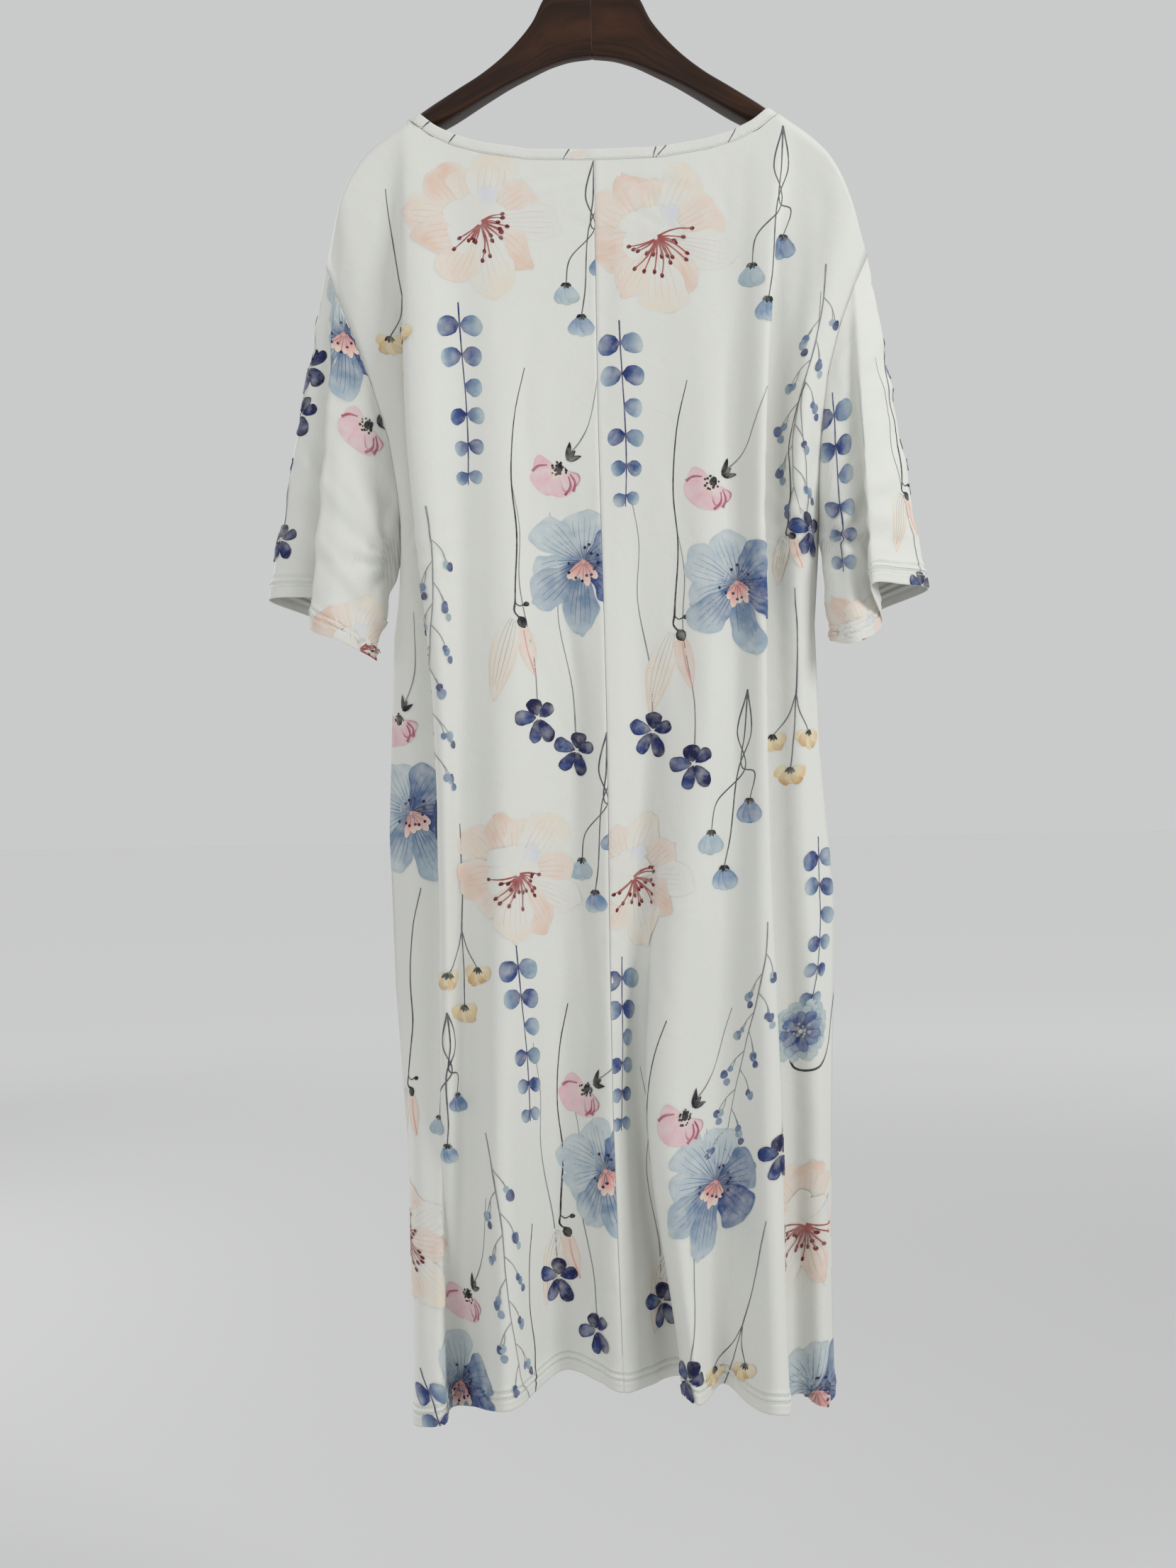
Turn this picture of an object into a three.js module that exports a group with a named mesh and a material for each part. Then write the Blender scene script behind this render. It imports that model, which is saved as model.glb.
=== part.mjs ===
// A short-sleeved jersey dress on a two-part wooden hanger, in millimetres.
// X is across the dress, -Y is the side of the dress's back, +Z is up.
// The origin is the point where the hook hangs.
import * as THREE from 'three';

// Driving sizes
const WALL = 1.2; // cloth
const BINDING_WALL = 1.7; // two folded layers of cloth
const BINDING_PROUD = 0.6; // how far its outer face stands out from the panels'
const BINDING_HEIGHT = 10;
const BINDING_GAP = 0.85; // between the binding and the panels
const GAP = 0.3; // between pieces at a seam
const ARMHOLE_GAP = 0.9; // measured down the sleeve, whose wall turns there
const CREST_GAP = 1.8; // the same at the top of the armhole
const NECK_HALF = 171; // from the middle to where the neckline crosses the shoulder
const BACK_HANG = 24; // how far behind the hanger's middle plane the back panel hangs
const SHOULDER_DROP = 14; // height of the round where the cloth turns over the hanger
const HEM_MIDDLE = -1322; // height of the hem at the centre
const HEM_DIP = 23; // how much lower it hangs at the sides
const HEM_HALF = 180;

// Heights at which the fold tables below are read
const CHEST = -459;
const WAIST = -720;
const LOW = -1060;

// The hanger, one half: across, top edge, bottom edge, half of its thickness, and how round
// its section is, from 0 for a block to 1 for an ellipse
const HANGER_STATIONS = [
  { x: 0, top: -62, bottom: -123, half: 8.5, round: 0.5 },
  { x: 20, top: -62, bottom: -123, half: 8.7, round: 0.5 },
  { x: 36, top: -62.5, bottom: -125, half: 9, round: 0.5 },
  { x: 43, top: -68, bottom: -127, half: 9.2, round: 0.5 },
  { x: 55, top: -91, bottom: -131.5, half: 9.8, round: 0.55 },
  { x: 77, top: -116, bottom: -146, half: 11.5, round: 0.6 },
  { x: 100, top: -135, bottom: -161, half: 13.5, round: 0.7 },
  { x: 125, top: -151, bottom: -176, half: 15.8, round: 0.85 },
  { x: 150, top: -167, bottom: -191, half: 17.8, round: 1 },
  { x: 172, top: -182.5, bottom: -206.5, half: 19.5, round: 1 },
  { x: 190, top: -195.5, bottom: -218, half: 20.5, round: 1 },
  { x: 201, top: -204.5, bottom: -224.5, half: 19, round: 1 },
  { x: 208, top: -212, bottom: -229, half: 14, round: 1 },
  { x: 212, top: -219, bottom: -229, half: 7, round: 1 },
];
const HANGER_SECTION_SIDES = 16;

// Hook
const WIRE = 4.6;
const HOOK_INSIDE = 20; // inner radius
const HOOK_START = -72; // degrees, where the stem runs into the bend
const HOOK_END = 161; // degrees, the free end
const HOOK_POINTS = 16; // along the bend
const HOOK_STEPS = 44; // along the whole wire

// The collar round the hook's foot: height over the hanger's crown, and radius
const FERRULE = [
  { height: 0, radius: 0 },
  { height: 0, radius: 6 },
  { height: 1.4, radius: 6 },
  { height: 2, radius: 4.6 },
  { height: 4.2, radius: 4.6 },
  { height: 5, radius: 3.8 },
  { height: 5, radius: 0 },
];
const FERRULE_SIDES = 20;

// The shoulder's ridge, where back and front meet: over the hanger's arm, then falling from its tip
const RIDGE = [
  { x: 0, z: -59 },
  { x: 36, z: -60 },
  { x: 55, z: -88 },
  { x: 77, z: -113 },
  { x: 100, z: -132 },
  { x: 125, z: -148.2 },
  { x: 150, z: -164.2 },
  { x: 172, z: -179.8 },
  { x: 190, z: -192.5 },
  { x: 201, z: -201.2 },
  { x: 212, z: -212 },
  { x: 220, z: -223.5 },
  { x: 228, z: -240 },
  { x: 237, z: -266 },
  { x: 250, z: -307 },
];

// The neckline where the panels end, on the back and on the front
const NECK_BACK = [
  { x: 0, z: -223.5 },
  { x: 60, z: -222 },
  { x: 104, z: -215 },
  { x: 130, z: -207.5 },
  { x: 150, z: -197.5 },
  { x: 163, z: -187 },
];
const NECK_FRONT = [
  { x: 0, z: -262 },
  { x: 60, z: -254 },
  { x: 104, z: -236 },
  { x: 130, z: -219 },
  { x: 150, z: -202 },
  { x: 163, z: -188 },
];

// Rows of the panels, as shares of the way from the top edge to the hem
const ROWS = [
  0, 0.0005, 0.002, 0.005, 0.009, 0.014, 0.03, 0.07, 0.12, 0.17, 0.215, 0.26, 0.3, 0.34,
  0.39, 0.45, 0.51, 0.58, 0.65, 0.72, 0.79, 0.86, 0.92, 0.965, 1,
];
const UNDERARM = 0.26;

// The panels' side edges: armhole down to the underarm, then side seam.
// back and front are the depths of the two panels' edges.
const SIDE_LEFT = [
  { row: 0, x: -247, z: -309, back: 0, front: 0 },
  { row: 0.03, x: -237, z: -338, back: -12, front: 10 },
  { row: 0.07, x: -222, z: -376, back: -15, front: 13 },
  { row: 0.12, x: -206, z: -420, back: -14, front: 13 },
  { row: 0.17, x: -191, z: -472, back: -12, front: 12 },
  { row: 0.215, x: -184, z: -522, back: -9, front: 9 },
  { row: UNDERARM, x: -181, z: -582, back: 0, front: 0 },
  { row: 0.34, x: -190, z: -652, back: -3, front: -3 },
  { row: 0.51, x: -197, z: -830, back: -5, front: -5 },
  { row: 0.65, x: -193, z: -972, back: -9, front: -9 },
  { row: 0.79, x: -183, z: -1118, back: -18, front: -18 },
  { row: 0.92, x: -178, z: -1258, back: -29, front: -29 },
  { row: 1, x: -180, z: -1345, back: -35, front: -35 },
];
const SIDE_RIGHT = [
  { row: 0, x: 250, z: -307, back: 0, front: 0 },
  { row: 0.03, x: 236, z: -336, back: -12, front: 10 },
  { row: 0.07, x: 222, z: -372, back: -15, front: 12 },
  { row: 0.12, x: 210, z: -418, back: -14, front: 12 },
  { row: 0.17, x: 204, z: -466, back: -12, front: 11 },
  { row: 0.215, x: 201, z: -515, back: -9, front: 8 },
  { row: UNDERARM, x: 201, z: -570, back: 0, front: 0 },
  { row: 0.34, x: 196, z: -645, back: 1, front: 1 },
  { row: 0.45, x: 199, z: -760, back: -1, front: -1 },
  { row: 0.58, x: 210, z: -905, back: -3, front: -3 },
  { row: 0.72, x: 205, z: -1050, back: -4, front: -4 },
  { row: 0.86, x: 201, z: -1200, back: -5, front: -5 },
  { row: 1, x: 202, z: -1345, back: -6, front: -6 },
];

// Fold lines of the back, from the photo's left to its right. top is how far across the
// line starts on the top edge, and each level gives [across, depth].
const BACK_FOLDS = {
  strip_left: { top: -222, chest: [-179, -15], waist: [-176, -16], low: [-171, -28], hem: [-173, -74] },
  tuck_left: { top: -190, chest: [-163, -16], waist: [-147, -22], low: [-153, -34], hem: [-152, -84] },
  edge_left: { top: -NECK_HALF, chest: [-174, -41], waist: [-153, -44], low: [-150, -45], hem: [-149, -40] },
  corner_left: { top: -167, chest: [-167, -45], waist: [-149, -49], low: [-147, -49], hem: [-147, -37] },
  ridge_left: { top: -150, chest: [-152, -46], waist: [-142, -50], low: [-141, -50], hem: [-143, -36] },
  valley_left: { top: -122, chest: [-126, -34], waist: [-129, -38], low: [-132, -41], hem: [-128, -48] },
  belly_left: { top: -88, chest: [-92, -37], waist: [-88, -50], low: [-98, -64], hem: [-96, -84] },
  arch_left: { top: -42, chest: [-45, -29], waist: [-30, -31], low: [-40, -28], hem: [-44, -16] },
  centre: { top: 0, chest: [0, -28], waist: [3, -41], low: [3, -46], hem: [8.5, -48] },
  recede: { top: 30, chest: [30, -29], waist: [38, -33], low: [26, -25], hem: [58, -10] },
  turn: { top: 48, chest: [47, -29], waist: [48, -34], low: [37, -28], hem: [73, -15] },
  overlap_edge: { top: 66, chest: [66, -30], waist: [62, -39], low: [34, -46], hem: [61, -57] },
  belly_middle: { top: 98, chest: [96, -34], waist: [92, -47], low: [53, -58], hem: [73, -84] },
  arch_right: { top: 128, chest: [127, -32], waist: [123, -36], low: [108, -42], hem: [98, -46] },
  belly_right: { top: 152, chest: [141, -43], waist: [137, -45], low: [138, -62], hem: [138, -88] },
  corner_right: { top: 167, chest: [147, -45], waist: [143, -47], low: [147, -60], hem: [148, -87] },
  edge_right: { top: NECK_HALF, chest: [151, -42], waist: [147, -44], low: [152, -54], hem: [154, -80] },
  tuck_right: { top: 188, chest: [143, -18], waist: [141, -20], low: [150, -26], hem: [157, -34] },
  valley_right: { top: 205, chest: [167, -16], waist: [160, -15], low: [166, -18], hem: [168, -22] },
  ridge_right: { top: 226, chest: [184, -29], waist: [181, -19], low: [187, -25], hem: [187, -32] },
};

// Fold lines of the front, from the photo's right to its left
const FRONT_FOLDS = {
  turn_right: { top: 222, chest: [189, 28], waist: [190, 20], low: [199, 26], hem: [199, 32] },
  ridge_1: { top: 196, chest: [160, 38], waist: [164, 36], low: [164, 50], hem: [160, 66] },
  valley_1: { top: NECK_HALF, chest: [126, 30], waist: [122, 26], low: [120, 26], hem: [118, 26] },
  corner_right: { top: 165, chest: [117, 30], waist: [113, 27], low: [110, 30], hem: [107, 35] },
  ridge_2: { top: 120, chest: [85, 33], waist: [80, 37], low: [76, 52], hem: [72, 72] },
  valley_2: { top: 62, chest: [40, 29], waist: [34, 27], low: [30, 28], hem: [27, 32] },
  ridge_3: { top: 0, chest: [0, 31], waist: [-8, 37], low: [-14, 54], hem: [-20, 77] },
  valley_3: { top: -62, chest: [-44, 29], waist: [-55, 27], low: [-60, 28], hem: [-66, 30] },
  ridge_4: { top: -120, chest: [-88, 33], waist: [-100, 38], low: [-106, 54], hem: [-112, 71] },
  corner_left: { top: -165, chest: [-120, 30], waist: [-128, 29], low: [-134, 34], hem: [-139, 44] },
  valley_4: { top: -NECK_HALF, chest: [-130, 30], waist: [-136, 28], low: [-142, 30], hem: [-148, 36] },
  ridge_5: { top: -200, chest: [-164, 38], waist: [-170, 30], low: [-168, 30], hem: [-168, 20] },
};

// Sleeves. at is where each fold line starts on the armhole: 0 at the shoulder, 6 at the
// underarm on the back and 12 back at the shoulder. x, y and z are its place on the cuff.
const UNDERARM_AT = 6;
const CUFF_LEFT = [
  { line: 'outer_edge', at: 0, x: -304, y: -4, z: -615 },
  { line: 'strip', at: 0.3, x: -280, y: -16, z: -614 },
  { line: 'strip_turn', at: 0.6, x: -250, y: -14, z: -618 },
  { line: 'flap_edge', at: 1, x: -261, y: -39, z: -645 },
  { line: 'flap', at: 3.5, x: -235, y: -46, z: -656 },
  { line: 'inner_edge', at: UNDERARM_AT, x: -208, y: -18, z: -670 },
  { line: 'front_inner', at: 8.5, x: -222, y: 14, z: -655 },
  { line: 'front_outer', at: 10.5, x: -262, y: 22, z: -632 },
];
const CUFF_RIGHT = [
  { line: 'outer_edge', at: 0, x: 300, y: -2, z: -615 },
  { line: 'strip', at: 0.5, x: 272, y: -32, z: -613 },
  { line: 'strip_edge', at: 1, x: 242, y: -46, z: -614 },
  { line: 'flap_turn', at: 1.7, x: 254, y: -22, z: -648 },
  { line: 'flap', at: 3.8, x: 226, y: -38, z: -665 },
  { line: 'inner_edge', at: UNDERARM_AT, x: 210, y: -14, z: -660 },
  { line: 'front_inner', at: 8.5, x: 221, y: 15, z: -652 },
  { line: 'front_outer', at: 10.5, x: 257, y: 24, z: -632 },
];
const SLEEVE_ROWS = [0, 0.06, 0.16, 0.3, 0.45, 0.6, 0.75, 0.88, 1];

const BACK_STEPS = 2; // columns between two fold lines
const FRONT_STEPS = 3;

// Small helpers

const lerp = (a, b, t) => a + (b - a) * t;

// Reads a table that is sorted by key, in straight lines between its rows
function readTable(rows, key, at, name) {
  const rising = rows[rows.length - 1][key] > rows[0][key];
  const order = rising ? rows : [...rows].reverse();
  const next = order.findIndex((row) => row[key] >= at);
  if (next === 0) return order[0][name];
  if (next < 0) return order[order.length - 1][name];
  const [a, b] = [order[next - 1], order[next]];
  return lerp(a[name], b[name], (at - a[key]) / (b[key] - a[key]));
}

// A smooth curve through values at uneven heights, read at one height
function smoothAt(heights, values, height) {
  const last = heights.length - 1;
  let i = 0;
  while (i < last - 1 && height < heights[i + 1]) i += 1;
  const slope = (a, b) => (values[b] - values[a]) / (heights[b] - heights[a]);
  const startSlope = slope(Math.max(i - 1, 0), i + 1);
  const endSlope = slope(i, Math.min(i + 2, last));
  const step = heights[i + 1] - heights[i];
  const t = THREE.MathUtils.clamp((height - heights[i]) / step, 0, 1);
  const [t2, t3] = [t * t, t * t * t];
  return (
    (2 * t3 - 3 * t2 + 1) * values[i] +
    (t3 - 2 * t2 + t) * step * startSlope +
    (3 * t2 - 2 * t3) * values[i + 1] +
    (t3 - t2) * step * endSlope
  );
}

// Points on a smooth curve through points, with so many steps between each two
function throughPoints(points, steps) {
  const curve = new THREE.CatmullRomCurve3(points, false, 'centripetal');
  const count = (points.length - 1) * steps;
  return Array.from({ length: count + 1 }, (_, i) => curve.getPoint(i / count));
}

// Cloth over the hanger

const ridgeHeight = (x) => readTable(RIDGE, 'x', Math.abs(x), 'z');

// 0 on the shoulder's ridge, growing to 1 where the cloth hangs free of it
function hangShare(x, z) {
  const drop = Math.max(0, ridgeHeight(x) - z);
  const left = Math.max(0, 1 - drop / SHOULDER_DROP);
  return Math.sqrt(1 - left * left);
}

function topHeight(neckline, x) {
  const across = Math.abs(x);
  if (across >= NECK_HALF) return ridgeHeight(x);
  return readTable([...neckline, { x: NECK_HALF, z: ridgeHeight(NECK_HALF) }], 'x', across, 'z');
}

const hemHeight = (x) => HEM_MIDDLE - HEM_DIP * (Math.abs(x) / HEM_HALF) ** 1.5;

// The columns of one panel, without its two side edges: where each crosses every level
function panelColumns(folds, sides, steps) {
  const rows = [sides[0], ...Object.values(folds), sides[1]];
  const level = (name) => throughPoints(
    rows.map((row) => new THREE.Vector3(row[name][0], row[name][1], 0)), steps);
  const levels = { chest: level('chest'), waist: level('waist'), low: level('low'), hem: level('hem') };
  const top = throughPoints(rows.map((row) => new THREE.Vector3(row.top, 0, 0)), steps);
  return levels.chest.map((_, i) => ({
    top: top[i].x,
    chest: levels.chest[i],
    waist: levels.waist[i],
    low: levels.low[i],
    hem: levels.hem[i],
  }));
}

// A side edge as a row of the fold table, so that the levels' curves end on it
function sideAsFold(side, depth) {
  const at = (z) => [readTable(side, 'z', z, 'x'), readTable(side, 'z', z, depth)];
  const end = side[side.length - 1];
  return { top: side[0].x, chest: at(CHEST), waist: at(WAIST), low: at(LOW), hem: [end.x, end[depth]] };
}

function columnPoint(column, neckline, hang, row) {
  const start = topHeight(neckline, column.top);
  const end = hemHeight(column.hem.x);
  const z = lerp(start, end, row);
  const heights = [start, CHEST, WAIST, LOW, end];
  const across = [column.top, column.chest.x, column.waist.x, column.low.x, column.hem.x];
  const depths = [hang, column.chest.y, column.waist.y, column.low.y, column.hem.y];
  const x = smoothAt(heights, across, z);
  return new THREE.Vector3(x, smoothAt(heights, depths, z) * hangShare(x, z), z);
}

function sidePoint(side, depth, row) {
  return new THREE.Vector3(
    readTable(side, 'row', row, 'x'),
    readTable(side, 'row', row, depth),
    readTable(side, 'row', row, 'z'));
}

// A panel as columns of points, going round the body in one direction
function panelGrid({ folds, startSide, endSide, depth, neckline, hang, steps }) {
  const columns = panelColumns(folds, [sideAsFold(startSide, depth), sideAsFold(endSide, depth)], steps);
  return columns.map((column, i) => ROWS.map((row) => {
    if (i === 0) return sidePoint(startSide, depth, row);
    if (i === columns.length - 1) return sidePoint(endSide, depth, row);
    return columnPoint(column, neckline, hang, row);
  }));
}

// Outward directions of a grid of columns
function gridNormals(grid, closed) {
  const last = grid.length - 1;
  const column = (i) => grid[closed ? (i + grid.length) % grid.length : THREE.MathUtils.clamp(i, 0, last)];
  return grid.map((points, c) => points.map((_, r) => {
    const along = new THREE.Vector3().subVectors(column(c + 1)[r], column(c - 1)[r]);
    const down = new THREE.Vector3().subVectors(
      points[Math.min(r + 1, points.length - 1)], points[Math.max(r - 1, 0)]);
    return down.cross(along).normalize();
  }));
}

// A closed wall: the grid outside, the same grid moved in, and the edges between them
function shellGeometry(grid, normals, wall, closed) {
  const columns = grid.length;
  const rows = grid[0].length;
  const positions = [];
  grid.forEach((points) => points.forEach((p) => positions.push(p.x, p.y, p.z)));
  grid.forEach((points, c) => points.forEach((p, r) => {
    const inner = p.clone().addScaledVector(normals[c][r], -wall);
    positions.push(inner.x, inner.y, inner.z);
  }));
  const outer = (c, r) => (c % columns) * rows + r;
  const inner = (c, r) => columns * rows + outer(c, r);
  const faces = [];
  const quad = (a, b, c, d) => faces.push(a, b, c, a, c, d);
  for (let c = 0; c < (closed ? columns : columns - 1); c += 1) {
    for (let r = 0; r < rows - 1; r += 1) {
      quad(outer(c, r), outer(c, r + 1), outer(c + 1, r + 1), outer(c + 1, r));
      quad(inner(c, r), inner(c + 1, r), inner(c + 1, r + 1), inner(c, r + 1));
    }
    quad(outer(c, 0), outer(c + 1, 0), inner(c + 1, 0), inner(c, 0));
    quad(outer(c + 1, rows - 1), outer(c, rows - 1), inner(c, rows - 1), inner(c + 1, rows - 1));
  }
  if (!closed) {
    const end = columns - 1;
    for (let r = 0; r < rows - 1; r += 1) {
      quad(outer(0, r), inner(0, r), inner(0, r + 1), outer(0, r + 1));
      quad(outer(end, r), outer(end, r + 1), inner(end, r + 1), inner(end, r));
    }
  }
  const geometry = new THREE.BufferGeometry();
  geometry.setAttribute('position', new THREE.Float32BufferAttribute(positions, 3));
  geometry.setIndex(faces);
  geometry.computeVertexNormals();
  return geometry;
}

// The body: back and front grids with shared directions at their seams
const backGrid = panelGrid({
  folds: BACK_FOLDS, startSide: SIDE_LEFT, endSide: SIDE_RIGHT, depth: 'back',
  neckline: NECK_BACK, hang: -BACK_HANG, steps: BACK_STEPS,
});
const frontGrid = panelGrid({
  folds: FRONT_FOLDS, startSide: SIDE_RIGHT, endSide: SIDE_LEFT, depth: 'front',
  neckline: NECK_FRONT, hang: BACK_HANG, steps: FRONT_STEPS,
});
const backNormals = gridNormals(backGrid, false);
const frontNormals = gridNormals(frontGrid, false);

// Along the shoulder's ridge the wall's direction has no part towards back or front
function levelRidge(grid, normals) {
  grid.forEach((points, c) => {
    if (Math.abs(points[0].x) < NECK_HALF) return;
    normals[c][0].setY(0).normalize();
  });
}
levelRidge(backGrid, backNormals);
levelRidge(frontGrid, frontNormals);

// Close to the middle plane the wall stays on its own side
function keepSide(grid, normals) {
  grid.forEach((points, c) => points.forEach((p, r) => {
    const room = Math.max(0, Math.abs(p.y) - GAP) / WALL;
    const normal = normals[c][r];
    if (Math.abs(normal.y) > room && Math.abs(p.x) > NECK_HALF && p.z > CHEST) {
      normal.setY(Math.sign(normal.y) * room).normalize();
    }
  }));
}
keepSide(backGrid, backNormals);
keepSide(frontGrid, frontNormals);

// At the side seams both panels share one direction
function shareSideDirection(a, b) {
  ROWS.forEach((row, r) => {
    if (row < UNDERARM) return;
    const shared = a[r].clone().add(b[r]).normalize();
    a[r].copy(shared);
    b[r].copy(shared);
  });
}
shareSideDirection(backNormals[0], frontNormals[frontNormals.length - 1]);
shareSideDirection(backNormals[backNormals.length - 1], frontNormals[0]);

// Each edge gives way by its half of the seam's gap
const half = GAP / 2 + 0.05;
const ease = (grid, way) => grid.forEach((points, c) => {
  if (Math.abs(points[0].x) >= NECK_HALF) points[0].y += way * half;
  if (c === 0 || c === grid.length - 1) points.forEach((p) => { p.y += way * half; });
});
ease(backGrid, -1);
ease(frontGrid, 1);

// The back is two pieces, parted at the centre-back seam
const centre = (Object.keys(BACK_FOLDS).indexOf('centre') + 1) * BACK_STEPS;
const partAt = (grid, edge, way) => grid.map((points, c) => points.map((p) => (
  c === edge ? p.clone().setX(p.x + way * half) : p)));
const leftGrid = partAt(backGrid.slice(0, centre + 1), centre, -1);
const rightGrid = partAt(backGrid.slice(centre), 0, 1);

// Sleeves

// The armhole as a closed line: back edge down to the underarm, front edge up again
function armholePoint(side, at) {
  const rows = side.filter((row) => row.row <= UNDERARM);
  const way = at <= UNDERARM_AT ? 'back' : 'front';
  const place = at <= UNDERARM_AT ? at : 2 * UNDERARM_AT - at;
  const i = Math.min(Math.floor(place), UNDERARM_AT - 1);
  const t = place - i;
  return new THREE.Vector3(
    lerp(rows[i].x, rows[i + 1].x, t),
    lerp(rows[i][way], rows[i + 1][way], t),
    lerp(rows[i].z, rows[i + 1].z, t));
}

// Reads the closed cuff line at any place round it
function cuffPoint(cuff, at) {
  const round = 2 * UNDERARM_AT;
  const wrapped = [cuff[cuff.length - 1], ...cuff, cuff[0], cuff[1]].map((row, i) => ({
    ...row,
    at: row.at + (i === 0 ? -round : 0) + (i > cuff.length ? round : 0),
  }));
  const i = wrapped.findIndex((row, n) => n > 0 && at >= row.at && at < wrapped[n + 1].at);
  const points = wrapped.slice(i - 1, i + 3).map((row) => new THREE.Vector3(row.x, row.y, row.z));
  const t = (at - wrapped[i].at) / (wrapped[i + 1].at - wrapped[i].at);
  return new THREE.CatmullRomCurve3(points, false, 'centripetal').getPoint((1 + t) / 3);
}

const SLEEVE_COLUMNS = [
  0, 0.15, 0.3, 0.45, 0.6, 0.8, 1, 1.35, 1.7, 2, 2.5, 3, 3.5, 4, 4.5, 5, 5.5,
  6, 6.5, 7, 7.5, 8, 8.5, 9, 9.5, 10, 10.5, 11, 11.5,
];

function sleeveGrid(side, cuff) {
  const grid = SLEEVE_COLUMNS.map((at) => {
    const top = armholePoint(side, at);
    const end = cuffPoint(cuff, at);
    const fromCrest = Math.min(at, 2 * UNDERARM_AT - at);
    const gap = fromCrest < 0.5 ? CREST_GAP : ARMHOLE_GAP;
    const start = top.clone().add(end.clone().sub(top).setLength(gap));
    return SLEEVE_ROWS.map((row) => start.clone().lerp(end, row));
  });
  return cuff[0].x > 0 ? grid.reverse() : grid;
}

// Neck binding: a closed band that stands on the panels' neck edges

// The panels' own top points along the neckline, once round
function neckLoop() {
  const isNeck = (points) => Math.abs(points[0].x) <= NECK_HALF + GAP;
  const back = backGrid.filter(isNeck).map((points) => points[0].clone());
  const front = frontGrid.filter(isNeck).map((points) => points[0].clone());
  back[0].setY(0);
  back[back.length - 1].setY(0);
  return [...back, ...front.slice(1, -1)];
}

// A point of the draped surface over the shoulder, seen from the back at x and z
function drapedPoint(x, z, way) {
  const height = Math.min(z, ridgeHeight(x));
  return new THREE.Vector3(x, way * BACK_HANG * hangShare(x, height), height);
}

// The way across the band from the panels' edge, as seen from the back: square to the edge
// where the cloth hangs, and along the shoulder's ridge where the band goes over it
function acrossBand(before, p, after) {
  const along = new THREE.Vector2(after.x - before.x, after.z - before.z).normalize();
  const turn = p.y > 0 ? -1 : 1;
  const square = new THREE.Vector2(-along.y * turn, along.x * turn);
  const inward = Math.abs(p.x) - BINDING_HEIGHT;
  const overArm = new THREE.Vector2(
    -Math.sign(p.x) * BINDING_HEIGHT, ridgeHeight(inward) - ridgeHeight(p.x)).normalize();
  const share = Math.max(0, 1 - (ridgeHeight(p.x) - p.z) / SHOULDER_DROP);
  return square.multiplyScalar(1 - share).addScaledVector(overArm, share).normalize();
}

function bindingGrid() {
  const seam = neckLoop();
  const grid = seam.map((p, i) => {
    const before = seam[(i + seam.length - 1) % seam.length];
    const after = seam[(i + 1) % seam.length];
    const across = acrossBand(before, p, after);
    return [BINDING_HEIGHT, BINDING_HEIGHT / 2, 0].map((height) => {
      const reach = height + BINDING_GAP;
      return drapedPoint(p.x + across.x * reach, p.z + across.y * reach, Math.sign(p.y));
    });
  });
  const normals = gridNormals(grid, true);
  return grid.map((points, c) => points.map((p, r) => (
    p.addScaledVector(normals[c][r], BINDING_PROUD))));
}

// A closed solid through rings of points, with a fan at each end
function loft(rings, flip) {
  const sides = rings[0].length;
  const positions = rings.flat().flatMap((p) => [p.x, p.y, p.z]);
  const ends = [rings[0], rings[rings.length - 1]].map((ring) => {
    const sum = ring.reduce((total, p) => total.add(p), new THREE.Vector3());
    return sum.divideScalar(sides);
  });
  ends.forEach((p) => positions.push(p.x, p.y, p.z));
  const firstEnd = rings.length * sides;
  const faces = [];
  const face = (a, b, c) => faces.push(...(flip ? [a, b, c] : [a, c, b]));
  for (let i = 0; i < rings.length - 1; i += 1) {
    for (let k = 0; k < sides; k += 1) {
      const next = (k + 1) % sides;
      const [a, b] = [i * sides + k, i * sides + next];
      face(a, b, b + sides);
      face(a, b + sides, a + sides);
    }
  }
  const lastRing = (rings.length - 1) * sides;
  for (let k = 0; k < sides; k += 1) {
    const next = (k + 1) % sides;
    face(firstEnd, next, k);
    face(firstEnd + 1, lastRing + k, lastRing + next);
  }
  const geometry = new THREE.BufferGeometry();
  geometry.setAttribute('position', new THREE.Float32BufferAttribute(positions, 3));
  geometry.setIndex(faces);
  geometry.computeVertexNormals();
  return geometry;
}

// Hanger

function hangerHalf(way) {
  const sides = HANGER_SECTION_SIDES;
  const rings = HANGER_STATIONS.map((station, i) => {
    const x = way * (i === 0 ? GAP / 2 : station.x);
    const middle = (station.top + station.bottom) / 2;
    const high = (station.top - station.bottom) / 2;
    return Array.from({ length: sides }, (_, k) => {
      const angle = (k / sides) * 2 * Math.PI + Math.PI / sides;
      const [c, s] = [Math.cos(angle), Math.sin(angle)];
      return new THREE.Vector3(
        x,
        station.half * Math.sign(c) * Math.abs(c) ** station.round,
        middle + high * Math.sign(s) * Math.abs(s) ** station.round);
    });
  });
  return loft(rings, way > 0);
}

// Hook and its collar

const FERRULE_BOTTOM = HANGER_STATIONS[0].top + GAP;
const HOOK_BOTTOM = FERRULE_BOTTOM + FERRULE[FERRULE.length - 1].height + GAP;

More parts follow.
